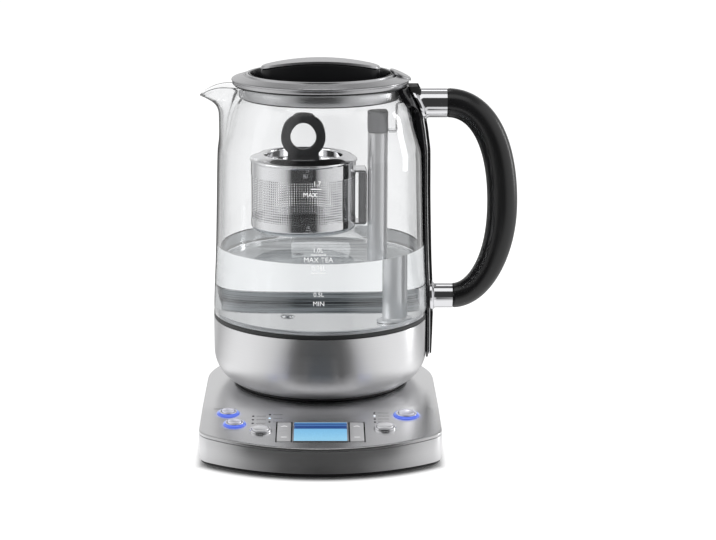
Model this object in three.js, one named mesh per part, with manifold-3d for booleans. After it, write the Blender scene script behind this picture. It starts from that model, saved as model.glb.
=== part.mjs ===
// Automatic tea maker: a glass jug with a stainless foot band, a lid and a motor-driven tea
// basket, standing on a powered base with a sloping control panel.
// Millimetres, +Z up. The origin is on the flat underside of the base tray, on the jug's axis.
// -Y is the front with the panel, +X is the handle side and -X is the spout side.

import * as THREE from 'three';
import { mergeVertices } from 'three/addons/utils/BufferGeometryUtils.js';
import Module from 'manifold-3d';

const wasm = await Module();
wasm.setup();

// Clearances, and the reach of cutters past what they cut
const seam = 0.3;
const slip = 0.5;
const overrun = 5;

// Facets around large, middle, small and tiny round pieces
const bigSides = 40;
const midSides = 24;
const smallSides = 12;
const tinySides = 8;
const planSteps = 8;
const archSteps = 4;

// Base: plan, tray, apron and top plate
const baseHalfWidth = 80;
const baseFrontReach = 152;
const baseFrontRadius = 125;
const baseCornerRadius = 16;
const seatHeight = 24.5;
const plateThickness = 2;
const apronFoot = 2.8;
const apronWall = 2;
const trayThickness = 2.5;
const trayEdgeInset = 0.8;
const trayTaper = 2;
const trayLipHeight = 5;
const trayLipWall = 1.6;
const bossRadius = 4;
const bossHole = 1.6;
const bossSideInset = 14;
const bossFrontY = -62;
const bossRearInset = 12;
const bossRearDegrees = 40;
const footRadius = 8;
const footThickness = 3;
const footRecess = 1.5;
const footSideInset = 22;
const footFrontInset = 38;
const footRearInset = 18.4;
const footRearDegrees = 36;
// Small chamfer of the moulded feet, connector and gland
const mouldedEdge = 0.8;

// Base connector and cord gland
const connectorFlangeRadius = 26;
const connectorFlangeThickness = 2;
const connectorNeckRadius = 23;
const connectorBodyRadius = 19;
const connectorNeckRise = 0.6;
const connectorGrooveRadius = 12;
const connectorGrooveDepth = 5;
const connectorPostRadius = 7;
const connectorPostRise = 9;
const connectorSeatHeight = 14;
const glandHeight = 14;
const glandNeckRadius = 4.5;
const glandFlangeRadius = 6;
const glandFlangeThickness = 2;
const glandBore = 3.2;
const glandReach = 5;

// Panel: where it bends down from the level plate, how far it drops, and what it holds
const panelBendY = -75;
const panelDrop = 4.5;
const boardDepth = 8.4;
const boardThickness = 1.6;
const boardSideInset = 18;
const boardRearY = -4;
const boardFrontY = -52.5;
const pillarRadius = 2.5;
const pillarEdgeInset = 3;
const pillarFrontY = -49.5;
const pillarMiddleX = 8;
const pillarMiddleY = -14;
const displayHalfWidth = 17.4;
const displayRearY = -29;
const displayFrontY = -63.6;
const displayFrame = 0.9;
const displayFrameRise = 0.5;
const windowThickness = 1.2;
const keyWidth = 9.6;
const keyThickness = 3.4;
const keyRise = 0.7;
const keyPivotDepth = 4;
const keyPivotRadius = 1;
const keyPivotLength = 6;
const saddleWall = 1.2;
const displayBaseThickness = 1.4;

// Push buttons: place between the keys and the side of the base, place down the panel, cap
// radius and ring radius
const leftRearButton = { sideShare: -0.644, y: -10.6, cap: 4.4, ring: 7.7 };
const leftFrontButton = { sideShare: -0.545, y: -31.2, cap: 4.7, ring: 7.7 };
const leftCentreButton = { sideShare: -0.201, y: -44.4, cap: 5.8, ring: 7.5 };
const rightCentreButton = { sideShare: 0.262, y: -39.4, cap: 5.8, ring: 7.5 };
const startButton = { sideShare: 0.559, y: -13.9, cap: 5.6, ring: 8.9 };
const buttonRise = 3;
const buttonEdge = 0.8;
const buttonTravel = 1;
const buttonFlange = 0.9;
const buttonFlangeThickness = 1;
const buttonStemRadius = 1.6;
const ringRise = 1.6;
const ringEdge = 0.9;
const ringNeckWall = 1.2;
const ringNeckDepth = 2.6;

// Indicator lights: columns on the panel, pitch down each column and pin size
const pinRadius = 0.8;
const pinWebWall = 1.4;
const leftPinColumns = [
  { sideShare: -0.311, y: -16.4, count: 3, pitch: 6.8 },
  { sideShare: -0.0925, y: -13.5, count: 3, pitch: 6.9 },
];
const rightPinColumns = [{ sideShare: 0.138, y: -10.2, count: 4, pitch: 5.8 }];

// Jug: foot, stainless band, seal, glass
const jugRadius = 75;
const jugFootRadius = 64;
const jugFootHeight = 4.2;
const jugFootWall = 6;
const coverThickness = 2.2;
const bandHeight = 46.8;
const bandFootHeight = 2.5;
const bandCornerRadius = 21;
const bandWall = 1.2;
const sealRise = 2.75;
const sealLegDepth = 4.6;
const sealLegWall = 2.9;
const sealLipWall = 0.8;
const sealLipRise = 2.2;
const glassHeight = 159;
const glassWall = 3;
const neckRadius = 57.5;
const spoutReach = 83.2;
const spoutDip = 5.7;
const spoutHalfAngle = 20;
const spoutDipHalfAngle = 11;
const floorDrop = 2.3;
const floorThickness = 1.5;
const floorRimDepth = 5;
const floorRimWall = 1;
const elementRadius = 45;
const elementTubeRadius = 4;
const elementSweepShare = 0.8;
const probeX = -16;
const probeY = 20;
const probeRadius = 3.4;
const probeRise = 1.5;
const probeDepth = 8;
const probeFlangeRadius = 6;
const probeFlangeThickness = 1.2;

// Rows of the glass from its foot to its lip: share of the height, share of the way from neck
// radius to jug radius, share of the spout's extra reach and share of the spout's dip
const glassRowShares = [
  [0, 0.994, 0, 0],
  [0.038, 0.989, 0, 0],
  [0.264, 0.903, 0, 0],
  [0.491, 0.846, 0, 0],
  [0.711, 0.794, 0, 0],
  [0.767, 0.686, 0.035, 0],
  [0.827, 0.543, 0.125, 0],
  [0.884, 0.44, 0.202, 0.175],
  [0.928, 0.275, 0.361, 0.61],
  [0.962, 0.107, 0.589, 0.84],
  [0.984, 0.026, 0.83, 0.895],
  [1, 0, 1, 1],
];

// Jug connector, carried in the bottom cover, that drops over the base connector's post
const plugRadius = 16;
const plugFlangeRadius = 19;
const plugFlangeThickness = 1.8;
const plugHeight = 13;
const plugRise = 1;
const plugStepHeight = 2.2;
const plugRoof = 2.5;
const plugWall = 5;

// Handle: spine on the glass, trim line, rib, tail, pad, arms and grip
const spineHalfWidth = 12.6;
const clampHalfWidth = 24;
const clampBottomShare = 0.925;
const tailHeight = 18.5;
const trimThickness = 0.7;
const trimHalfWidth = 6;
const ribThickness = 1.8;
const ribHalfWidth = 4;
const tailTipThickness = 0.8;
const padThickness = 6.6;
const padHalfWidth = 9;
const padBottomShare = 0.955;
// Depth of the upper arm's axis below the lip of the glass
const upperArmDrop = 12.35;
const upperArmRadius = 10.1;
const upperArmReach = 87.2;
const lowerArmHeight = 60.1;
const lowerArmRadius = 8.7;
const lowerArmReach = 92.7;
const armCollarThickness = 2.2;
const armCollarFlare = 2;
const gripReach = 126.9;
const gripHeight = 124.7;
const gripMiddleRadius = 10.5;
const gripSides = 14;
const gripSteps = 22;
const gripBendShares = { topOut: 0.66, topDown: 0.58, lowDown: 0.59, lowOut: 0.53 };

// Rows of the spine's outer face: share of the glass height, and how far it stands off the glass
const spineStandOff = 1.4;
const spineNeckStandOff = 6;
const spineRowShares = [
  [0.038, 0],
  [0.264, 0],
  [0.491, 0],
  [0.711, 0.1],
  [0.767, 0.3],
  [0.827, 0.55],
  [0.884, 0.59],
  [0.928, 0.72],
  [0.962, 0.66],
  [1, 0.45],
];

// Lift post with its motor, screw, nut, cap and bracket
const postX = 39.8;
const postRadius = 7;
const postWall = 1;
// Space between the cap of the post and the jug lid
const capLidRoom = 9.55;
const postFlangeRadius = 10;
const postFlangeThickness = 1.6;
const postCapHeight = 14;
const postCapRadius = 7.2;
const postCapEdge = 1.2;
const postSpigotDepth = 4;
const motorRadius = 11;
const motorHeight = 18;
const motorNeckHeight = 3;
const motorNeckWall = 1.2;
const motorBoreDepth = 9;
const screwRadius = 2.4;
const nutHeight = 31;
const nutCentreAboveBasket = 22.7;
const bracketWall = 1.2;
const bracketHalfWidth = 5;
const bracketLegX = 52.4;
const bracketRise = 21;

// Tea basket, its carrier and its lid with the ring handle
const basketX = -11.9;
const basketRadius = 36.5;
const basketHeight = 47.5;
const basketWall = 1;
const basketCornerRadius = 6.5;
const carrierHeight = 38.3;
const carrierFootHeight = 3.6;
const carrierHalfWidth = 8;
const carrierWall = 1.5;
const basketLidLipRadius = 29;
const basketLidLipRise = 4.6;
const basketLidWall = 1;
const basketLidDishDepth = 3;
const basketLidSkirtDepth = 5;
const ringCentreRise = 16.3;
const ringOuterRadius = 15.4;
const ringInnerRadius = 8.9;
const ringNeckHalfWidth = 10.8;
const ringHalfThickness = 3.4;
// Space between the ring handle of the raised basket and the jug lid
const ringLidRoom = 11.65;

// Jug lid
const lidOverhang = 3.9;
const lidRimInnerRadius = 49.6;
const lidRimThickness = 2.8;
const lidRimRise = 4.4;
const lidRimWall = 2;
const lidRimEdge = 1.2;
const lidSealThickness = 0.8;
const lidSealWidth = 5.6;
const lidSkirtDepth = 9;
const lidSkirtGap = 0.9;
const lidSkirtWall = 1;
const dishFloorThickness = 1.4;
const dishDepth = 4;
const dishWall = 1.7;
const dishLegRadius = 45;
const dishLegWall = 2;
const gripBarHalfLength = 41;
const gripBarHalfWidth = 13;
const gripBarEndRadius = 9;
const gripBarEndRise = 9;
const gripBarCentreRise = 13.5;
const gripPlateThickness = 1.6;
const tabCentreX = 55.2;
const tabHalfLength = 7.2;
const tabHalfWidth = 10;
const tabThickness = 2;
const tabEdge = 0.8;

const metal = (color, roughness) => new THREE.MeshStandardMaterial({ color, roughness, metalness: 1 });
const plastic = (color, roughness) => new THREE.MeshStandardMaterial({ color, roughness, metalness: 0 });

const brushedSteel = metal(0xb9b9ba, 0.32);
const polishedSteel = metal(0xd0d0d2, 0.1);
const chrome = metal(0xe2e3e5, 0.05);
const greyMetal = metal(0x8f9092, 0.35);
const copper = metal(0xb87349, 0.35);
const blackPlastic = plastic(0x101012, 0.35);
const gripPlastic = plastic(0x17171a, 0.45);
const greyPlastic = plastic(0x8c8d8f, 0.5);
const darkPlastic = plastic(0x3a3b3d, 0.5);
const rubber = plastic(0x141414, 0.8);
const boardGreen = plastic(0x1f5a38, 0.6);
const displayBlue = plastic(0x7cc8f2, 0.2);
const lightGuide = plastic(0x2b2d30, 0.3);
const blueRing = plastic(0x3c5cf0, 0.25);
const buttonSilver = metal(0xd6d6da, 0.2);
const clearGlass = new THREE.MeshStandardMaterial({
  color: 0xf2f6f7, roughness: 0.02, metalness: 0, transparent: true, opacity: 0.3,
});
const clearPlastic = new THREE.MeshStandardMaterial({
  color: 0xe8ecee, roughness: 0.1, metalness: 0, transparent: true, opacity: 0.5,
});

// A closed geometry as a solid, with doubled points joined and collapsed triangles dropped
function solidOf(geometry) {
  const bare = geometry.clone();
  bare.deleteAttribute('normal');
  bare.deleteAttribute('uv');
  const merged = mergeVertices(bare);
  const corners = merged.index.array;
  const kept = [];
  for (let i = 0; i < corners.length; i += 3) {
    const [a, b, c] = [corners[i], corners[i + 1], corners[i + 2]];
    if (a !== b && b !== c && c !== a) kept.push(a, b, c);
  }
  return new wasm.Manifold(new wasm.Mesh({
    numProp: 3,
    vertProperties: new Float32Array(merged.attributes.position.array),
    triVerts: new Uint32Array(kept),
  }));
}

function geometryOf(solid) {
  const faces = solid.getMesh();
  const geometry = new THREE.BufferGeometry();
  geometry.setAttribute('position', new THREE.BufferAttribute(faces.vertProperties, 3));
  geometry.setIndex(new THREE.BufferAttribute(faces.triVerts, 1));
  geometry.computeVertexNormals();
  return geometry;
}

function addPart(parent, name, solid, material) {
  const part = new THREE.Mesh(geometryOf(solid), material);
  part.name = name;
  parent.add(part);
  return part;
}

function addGroup(parent, x, y, z) {
  const group = new THREE.Group();
  group.position.set(x, y, z);
  parent.add(group);
  return group;
}

const move = (solid, x, y, z) => solid.translate([x, y, z]);
const atPlaces = (places, solid) => places.map(([x, y]) => move(solid, x, y, 0));
const joinAll = solids => solids.reduce((whole, next) => whole.add(next));

// Twice the area that a profile of [radius, height] points encloses, positive when it runs
// from the axis outwards, up and back in
function windingArea(profile) {
  return profile.reduce((sum, [r, z], i) => {
    const [nextR, nextZ] = profile[(i + 1) % profile.length];
    return sum + r * nextZ - nextR * z;
  }, 0);
}

// A profile of [radius, height] points turned about +Z. It starts and ends on the axis, or is
// closed here on its first point.
function lathe(profile, sides) {
  const ordered = windingArea(profile) < 0 ? [...profile].reverse() : profile;
  const onAxis = ordered[0][0] === 0 && ordered[ordered.length - 1][0] === 0;
  const points = onAxis ? ordered : [...ordered, ordered[0]];
  const geometry = new THREE.LatheGeometry(points.map(([r, z]) => new THREE.Vector2(r, z)), sides);
  geometry.rotateX(Math.PI / 2);
  return solidOf(geometry);
}

const rod = (radius, bottom, top, sides) =>
  lathe([[0, bottom], [radius, bottom], [radius, top], [0, top]], sides);

function rodAlongX(radius, start, end, z, sides) {
  const upright = rod(radius, start, end, sides);
  return move(upright.rotate([0, 90, 0]), 0, 0, z);
}

function block(x0, x1, y0, y1, z0, z1) {
  const geometry = new THREE.BoxGeometry(x1 - x0, y1 - y0, z1 - z0);
  geometry.translate((x0 + x1) / 2, (y0 + y1) / 2, (z0 + z1) / 2);
  return solidOf(geometry);
}

const shapeOf = points => new THREE.Shape(points.map(([x, y]) => new THREE.Vector2(x, y)));

const extrude = (shape, depth, curveSegments) =>
  new THREE.ExtrudeGeometry(shape, { depth, bevelEnabled: false, curveSegments });

function prism(shape, bottom, top, curveSegments) {
  const geometry = extrude(shape, top - bottom, curveSegments);
  geometry.translate(0, 0, bottom);
  return solidOf(geometry);
}

// A shape drawn in X and Z, extruded to both sides of the XZ plane
function prismAlongY(shape, halfWidth, curveSegments) {
  const geometry = extrude(shape, 2 * halfWidth, curveSegments);
  geometry.rotateX(Math.PI / 2);
  geometry.translate(0, halfWidth, 0);
  return solidOf(geometry);
}

// A shape drawn in Y and Z, extruded to both sides of the YZ plane
function prismAlongX(shape, halfWidth) {
  const geometry = extrude(shape, 2 * halfWidth, 1);
  const turn = new THREE.Matrix4().makeBasis(
    new THREE.Vector3(0, 1, 0), new THREE.Vector3(0, 0, 1), new THREE.Vector3(1, 0, 0));
  geometry.applyMatrix4(turn);
  geometry.translate(-halfWidth, 0, 0);
  return solidOf(geometry);
}

// A skin over rings of equal point counts, each ring counterclockwise from above or from its
// end, closed by a fan at the first and at the last ring
function loft(rings) {
  const count = rings[0].length;
  const points = rings.flat();
  const index = [];
  for (let row = 0; row + 1 < rings.length; row += 1) {
    for (let i = 0; i < count; i += 1) {
      const a = row * count + i;
      const b = row * count + (i + 1) % count;
      index.push(a, b, b + count, a, b + count, a + count);
    }
  }
  const middle = ring => ring.reduce((sum, p) => sum.add(p), new THREE.Vector3()).divideScalar(count);
  const lastRow = (rings.length - 1) * count;
  points.push(middle(rings[0]), middle(rings[rings.length - 1]));
  for (let i = 0; i < count; i += 1) {
    const next = (i + 1) % count;
    index.push(points.length - 2, next, i);
    index.push(points.length - 1, lastRow + i, lastRow + next);
  }
  const geometry = new THREE.BufferGeometry().setFromPoints(points);
  geometry.setIndex(index);
  return solidOf(geometry);
}

// Points on an arc of a profile, both ends included
function arc(centreR, centreZ, radius, startAngle, endAngle, steps) {
  return Array.from({ length: steps + 1 }, (_, i) => {
    const angle = startAngle + (endAngle - startAngle) * i / steps;
    return [centreR + radius * Math.cos(angle), centreZ + radius * Math.sin(angle)];
  });
}

// A line of [radius, height] points that runs upwards, moved outwards square to itself
function offsetLine(line, distance) {
  return line.map(([r, z], i) => {
    const [backR, backZ] = line[Math.max(i - 1, 0)];
    const [aheadR, aheadZ] = line[Math.min(i + 1, line.length - 1)];
    const length = Math.hypot(aheadR - backR, aheadZ - backZ);
    return [r + distance * (aheadZ - backZ) / length, z - distance * (aheadR - backR) / length];
  });
}

// Radius at a height of a line of [radius, height] points
function radiusAt(line, height) {
  for (let i = 0; i + 1 < line.length; i += 1) {
    const [r0, z0] = line[i];
    const [r1, z1] = line[i + 1];
    if (height <= z1) return r0 + (r1 - r0) * Math.max(height - z0, 0) / (z1 - z0);
  }
  return line[line.length - 1][0];
}

// Places worked out from the sizes
const panelLength = baseFrontReach + panelBendY;
const panelTilt = Math.atan(panelDrop / panelLength);
const jugSeat = seatHeight + seam;
const floorTop = bandHeight - floorDrop;
const glassFoot = bandHeight + seam + sealRise + seam;
const lipHeight = glassFoot + glassHeight;
const upperArmHeight = lipHeight - upperArmDrop;
const basketPostGap = basketRadius + seam;
const basketStackHeight = basketHeight + seam + ringCentreRise + ringOuterRadius;
const basketFootHeight = lipHeight - lidSkirtDepth - ringLidRoom - basketStackHeight;

// Plan of the base: a half round back about the jug's axis, straight sides, a bowed front and
// rounded front corners, all drawn in by the inset
function baseOutline(inset) {
  const side = baseHalfWidth - inset;
  const frontRadius = baseFrontRadius - inset;
  const corner = baseCornerRadius - inset;
  const frontCentreY = baseFrontRadius - baseFrontReach;
  const cornerX = side - corner;
  const reach = frontRadius - corner;
  const cornerY = frontCentreY - Math.sqrt(reach * reach - cornerX * cornerX);
  const turn = Math.atan2(cornerX, frontCentreY - cornerY);
  const down = 1.5 * Math.PI;
  const outline = new THREE.Shape();
  outline.absarc(0, 0, side, 0, Math.PI, false);
  outline.absarc(-cornerX, cornerY, corner, Math.PI, down - turn, false);
  outline.absarc(0, frontCentreY, frontRadius, down - turn, down + turn, false);
  outline.absarc(cornerX, cornerY, corner, down + turn, 2 * Math.PI, false);
  return outline;
}

const basePrism = (inset, bottom, top) => prism(baseOutline(inset), bottom, top, planSteps);

// What lies under a face that follows the top plate, sunk below the plate's top by the depth
function underPlate(depth) {
  const back = baseHalfWidth + overrun;
  const front = -baseFrontReach - overrun;
  const slope = Math.tan(panelTilt);
  const frontTop = seatHeight - depth - (panelBendY - front) * slope;
  return prismAlongX(shapeOf([
    [back, -overrun],
    [back, seatHeight - depth],
    [panelBendY, seatHeight - depth],
    [front, frontTop],
    [front, -overrun],
  ]), baseHalfWidth + overrun);
}

// A solid drawn on the panel, with its Z square to the panel, as it lies on the base
function onPanel(solid) {
  const degrees = panelTilt * 180 / Math.PI;
  return move(solid.rotate([degrees, 0, 0]), 0, panelBendY, seatHeight);
}

// A place behind the jug's axis, the inset in from the round back of the base
function rearPlace(inset, degrees) {
  const turn = degrees * Math.PI / 180;
  return [(baseHalfWidth - inset) * Math.cos(turn), (baseHalfWidth - inset) * Math.sin(turn)];
}

// Where a share of the way from the keys' outer edge to the side of the base lies in X, on the
// left where the share is negative
const panelX = share => share * (baseHalfWidth - panelHoleHalf) + Math.sign(share) * panelHoleHalf;

const bossSideX = baseHalfWidth - bossSideInset;
const [bossRearX, bossRearY] = rearPlace(bossRearInset, bossRearDegrees);
const bossPlaces = [
  [-bossSideX, bossFrontY], [bossSideX, bossFrontY], [-bossRearX, bossRearY], [bossRearX, bossRearY],
];
const footSideX = baseHalfWidth - footSideInset;
const footFrontY = footFrontInset - baseFrontReach;
const [footRearX, footRearY] = rearPlace(footRearInset, footRearDegrees);
const feet = [
  ['foot_front_left', -footSideX, footFrontY],
  ['foot_front_right', footSideX, footFrontY],
  ['foot_rear_left', -footRearX, footRearY],
  ['foot_rear_right', footRearX, footRearY],
];
const footPlaces = feet.map(([, x, y]) => [x, y]);
const buttonPlaces = [
  ['left_rear', leftRearButton, blueRing],
  ['left_front', leftFrontButton, blueRing],
  ['left_centre', leftCentreButton, chrome],
  ['right_centre', rightCentreButton, chrome],
  ['start', startButton, blueRing],
];

const boardHalfWidth = baseHalfWidth - boardSideInset;
const pillarX = boardHalfWidth - pillarEdgeInset;
const pillarPlaces = [
  [-pillarX, pillarFrontY], [pillarX, pillarFrontY],
  [-pillarMiddleX, pillarMiddleY], [pillarMiddleX, pillarMiddleY],
];

const ringNeckRadius = button => button.cap + slip + ringNeckWall;
const displayOuterHalf = displayHalfWidth + seam + displayFrame;
const panelHoleHalf = displayOuterHalf + slip + keyWidth + slip;
const panelHoleRear = displayRearY + displayFrame + slip;
const panelHoleFront = displayFrontY - displayFrame - slip;
const bossTop = connectorSeatHeight - seam;

function trayFloor() {
  const shape = inset => baseOutline(inset).getPoints(planSteps);
  const ring = (inset, z) => shape(inset).slice(0, -1).map(p => new THREE.Vector3(p.x, p.y, z));
  return loft([ring(trayEdgeInset + trayTaper, 0), ring(trayEdgeInset, trayThickness)]);
}

function makeTray() {
  const lipOuter = apronWall + seam;
  const lip = basePrism(lipOuter, trayThickness / 2, trayThickness + trayLipHeight)
    .subtract(basePrism(lipOuter + trayLipWall, 0, trayThickness + trayLipHeight + overrun));
  const bosses = atPlaces(bossPlaces, rod(bossRadius, trayThickness / 2, bossTop, tinySides));
  const seat = lathe([
    [connectorBodyRadius - bossRadius, trayThickness / 2], [connectorBodyRadius, trayThickness / 2],
    [connectorBodyRadius, bossTop], [connectorBodyRadius - bossRadius, bossTop],
  ], midSides);
  const holes = atPlaces(bossPlaces, rod(bossHole, -overrun, bossTop + overrun, tinySides));
  const recesses = atPlaces(footPlaces, rod(footRadius + seam, -overrun, footRecess, midSides));
  return joinAll([trayFloor(), lip, seat, ...bosses]).subtract(joinAll([...holes, ...recesses]));
}

function makeApron() {
  const gland = move(rod(glandNeckRadius + seam, -overrun, overrun, smallSides).rotate([90, 0, 0]),
    0, baseHalfWidth, glandHeight);
  return basePrism(0, apronFoot, seatHeight)
    .subtract(basePrism(apronWall, 0, seatHeight + overrun))
    .intersect(underPlate(plateThickness + seam))
    .subtract(gland);
}

function makeTopPlate() {
  const plate = basePrism(0, 0, seatHeight + overrun)
    .intersect(underPlate(0))
    .subtract(underPlate(plateThickness));
  const bosses = atPlaces(bossPlaces,
    rod(bossRadius, bossTop + seam, seatHeight - plateThickness / 2, tinySides));
  const pillars = atPlaces(pillarPlaces,
    rod(pillarRadius, seam - boardDepth, -plateThickness / 2, tinySides));
  const screwHoles = atPlaces(bossPlaces,
    rod(bossHole, bossTop - overrun, seatHeight - 2 * plateThickness, tinySides));
  const buttonHoles = buttonPlaces.map(([, button]) => {
    const hole = rod(ringNeckRadius(button) + seam, -overrun, overrun, smallSides);
    return move(hole, panelX(button.sideShare), button.y, 0);
  });
  const display = block(-panelHoleHalf, panelHoleHalf, panelHoleFront, panelHoleRear, -overrun, overrun);
  const pinHoles = atPlaces([...leftPinColumns, ...rightPinColumns].flatMap(pinPlaces),
    rod(pinRadius + seam, -overrun, overrun, tinySides));
  const connector = rod(connectorNeckRadius + seam, seatHeight - overrun, seatHeight + overrun, midSides);
  return joinAll([plate, ...bosses, onPanel(joinAll(pillars))])
    .subtract(joinAll([...screwHoles, onPanel(joinAll([...buttonHoles, display, ...pinHoles])), connector]));
}

const pinPlaces = column =>
  Array.from({ length: column.count }, (_, i) => [panelX(column.sideShare), column.y - i * column.pitch]);

function makeFoot() {
  return lathe([
    [0, -footRecess], [footRadius - mouldedEdge, -footRecess], [footRadius, -footRecess + mouldedEdge],
    [footRadius, footThickness - footRecess - seam], [0, footThickness - footRecess - seam],
  ], midSides);
}

function makeBaseConnector() {
  const flangeTop = seatHeight - plateThickness - seam;
  const flangeBottom = flangeTop - connectorFlangeThickness;
  const neckTop = seatHeight + connectorNeckRise;
  const postTop = seatHeight + connectorPostRise;
  return lathe([
    [0, connectorSeatHeight],
    [connectorBodyRadius, connectorSeatHeight],
    [connectorBodyRadius, flangeBottom],
    [connectorFlangeRadius, flangeBottom],
    [connectorFlangeRadius, flangeTop],
    [connectorNeckRadius, flangeTop],
    [connectorNeckRadius, neckTop],
    [connectorGrooveRadius, neckTop],
    [connectorGrooveRadius, neckTop - connectorGrooveDepth],
    [connectorPostRadius, neckTop - connectorGrooveDepth],
    [connectorPostRadius, postTop - mouldedEdge],
    [connectorPostRadius - mouldedEdge, postTop],
    [0, postTop],
  ], midSides);
}

function makeGland() {
  const inner = baseHalfWidth - apronWall - seam;
  const outer = baseHalfWidth + seam;
  const profile = [
    [glandBore, inner - glandFlangeThickness],
    [glandFlangeRadius, inner - glandFlangeThickness],
    [glandFlangeRadius, inner - seam],
    [glandNeckRadius, inner - seam],
    [glandNeckRadius, outer],
    [glandFlangeRadius, outer],
    [glandFlangeRadius - mouldedEdge, outer + glandFlangeThickness],
    [glandNeckRadius, outer + glandReach],
    [glandBore, outer + glandReach],
  ];
  return move(lathe(profile, smallSides).rotate([-90, 0, 0]), 0, 0, glandHeight);
}

function addBase(parent) {
  addPart(parent, 'base_tray', makeTray(), blackPlastic);
  addPart(parent, 'base_apron', makeApron(), brushedSteel);
  addPart(parent, 'base_top_plate', makeTopPlate(), brushedSteel);
  addPart(parent, 'base_connector', makeBaseConnector(), blackPlastic);
  addPart(parent, 'cord_gland', makeGland(), rubber);
  for (const [name, x, y] of feet) {
    addPart(parent, name, makeFoot(), rubber).position.set(x, y, 0);
  }
}

// Panel pieces are drawn with Z square to the panel and 0 on its top face
function makeBoard() {
  const bottom = -boardDepth - boardThickness;
  return block(-boardHalfWidth, boardHalfWidth, boardFrontY, boardRearY, bottom, -boardDepth);
}

function makeDisplayModule() {
  const baseBottom = seam - boardDepth;
  const baseTop = baseBottom + displayBaseThickness;
  const seat = displayFrameRise - windowThickness - seam;
  const half = displayOuterHalf;
  const base = block(-panelHoleHalf, panelHoleHalf, displayFrontY, displayRearY, baseBottom, baseTop);
  const body = block(-half, half, displayFrontY - displayFrame, displayRearY + displayFrame,
    baseBottom, displayFrameRise);
  const pocket = block(-displayHalfWidth - seam, displayHalfWidth + seam, displayFrontY - seam / 2,
    displayRearY + seam / 2, seat, overrun);
  const middle = (displayFrontY + displayRearY) / 2;
  const saddleTop = -keyPivotDepth - seam / 2;
  const saddleHalf = keyPivotRadius + seam + saddleWall;
  const inner = half + slip;
  const saddles = [-1, 1].map(side => {
    const near = side * (inner + keyWidth / 2 - keyPivotLength / 2);
    const far = side * (inner + keyWidth / 2 + keyPivotLength / 2);
    const cheek = block(Math.min(near, far), Math.max(near, far), middle - saddleHalf, middle + saddleHalf,
      baseTop - displayBaseThickness / 2, saddleTop);
    return cheek.subtract(rodAlongX(keyPivotRadius + seam, Math.min(near, far) - overrun,
      Math.max(near, far) + overrun, -keyPivotDepth, smallSides).translate([0, middle, 0]));
  });
  return joinAll([base, body.subtract(pocket), ...saddles]);
}

function makeDisplayWindow() {
  const top = displayFrameRise - seam;
  return block(-displayHalfWidth, displayHalfWidth, displayFrontY + seam / 2, displayRearY - seam / 2,
    top - windowThickness + seam, top);
}

// A rocker key about its pivot, with a domed top across its length
function makeKey() {
  const half = (displayRearY - displayFrontY) / 2;
  const top = keyPivotDepth + keyRise;
  const sag = keyRise / 2;
  const profile = shapeOf([
    [-half, top - keyThickness], [half, top - keyThickness], [half, top - sag],
    [half / 2, top - sag / 2], [0, top], [-half / 2, top - sag / 2], [-half, top - sag],
  ]);
  const pivot = rodAlongX(keyPivotRadius, -keyPivotLength / 2, keyPivotLength / 2, 0, smallSides);
  const web = block(-keyPivotLength / 2, keyPivotLength / 2, -keyPivotRadius, keyPivotRadius, 0,
    top - keyThickness / 2);
  return joinAll([prismAlongX(profile, keyWidth / 2), pivot, web]);
}

function makeButton(button) {
  const flangeTop = -ringNeckDepth - seam;
  const flangeBottom = flangeTop - buttonFlangeThickness;
  const stemBottom = buttonTravel + seam - boardDepth;
  return lathe([
    [0, stemBottom],
    [buttonStemRadius, stemBottom],
    [buttonStemRadius, flangeBottom],
    [button.cap + slip + buttonFlange, flangeBottom],
    [button.cap + slip + buttonFlange, flangeTop],
    [button.cap, flangeTop],
    [button.cap, buttonRise - buttonEdge],
    [button.cap - buttonEdge, buttonRise],
    [0, buttonRise],
  ], smallSides);
}

function makeButtonRing(button) {
  const bore = button.cap + slip;
  return lathe([
    [bore, -ringNeckDepth],
    [ringNeckRadius(button), -ringNeckDepth],
    [ringNeckRadius(button), seam],
    [button.ring, seam],
    [button.ring - ringEdge, ringRise],
    [bore, ringRise],
  ], smallSides);
}

function makePins(columns) {
  const webBottom = seam - boardDepth;
  const webTop = webBottom + pinWebWall;
  const places = columns.flatMap(pinPlaces);
  const pins = atPlaces(places, rod(pinRadius, webTop - pinWebWall / 2, seam, tinySides));
  const xs = places.map(([x]) => x);
  const ys = places.map(([, y]) => y);
  const web = block(Math.min(...xs) - pinWebWall, Math.max(...xs) + pinWebWall,
    Math.min(...ys) - pinWebWall, Math.max(...ys) + pinWebWall, webBottom, webTop);
  return joinAll([web, ...pins]);
}

function addPanel(parent) {
  const panel = addGroup(parent, 0, panelBendY, seatHeight);
  panel.rotation.x = panelTilt;
  addPart(panel, 'control_board', makeBoard(), boardGreen);
  addPart(panel, 'display_module', makeDisplayModule(), blackPlastic);
  addPart(panel, 'display_window', makeDisplayWindow(), displayBlue);
  addPart(panel, 'left_indicator_pins', makePins(leftPinColumns), lightGuide);
  addPart(panel, 'right_indicator_pins', makePins(rightPinColumns), lightGuide);
  const keyX = displayOuterHalf + slip + keyWidth / 2;
  const keyY = (displayFrontY + displayRearY) / 2;
  addPart(panel, 'left_key', makeKey(), buttonSilver).position.set(-keyX, keyY, -keyPivotDepth);
  addPart(panel, 'right_key', makeKey(), buttonSilver).position.set(keyX, keyY, -keyPivotDepth);
  for (const [name, button, ringMaterial] of buttonPlaces) {
    const place = addGroup(panel, panelX(button.sideShare), button.y, 0);
    addPart(place, `${name}_button`, makeButton(button), buttonSilver);
    addPart(place, `${name}_button_ring`, makeButtonRing(button), ringMaterial);
  }
}

// Jug pieces are drawn from the jug's foot up
function glassLine() {
  return glassRowShares.map(([height, reach]) =>
    [neckRadius + reach * (jugRadius - neckRadius), glassFoot + height * glassHeight]);
}

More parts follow.
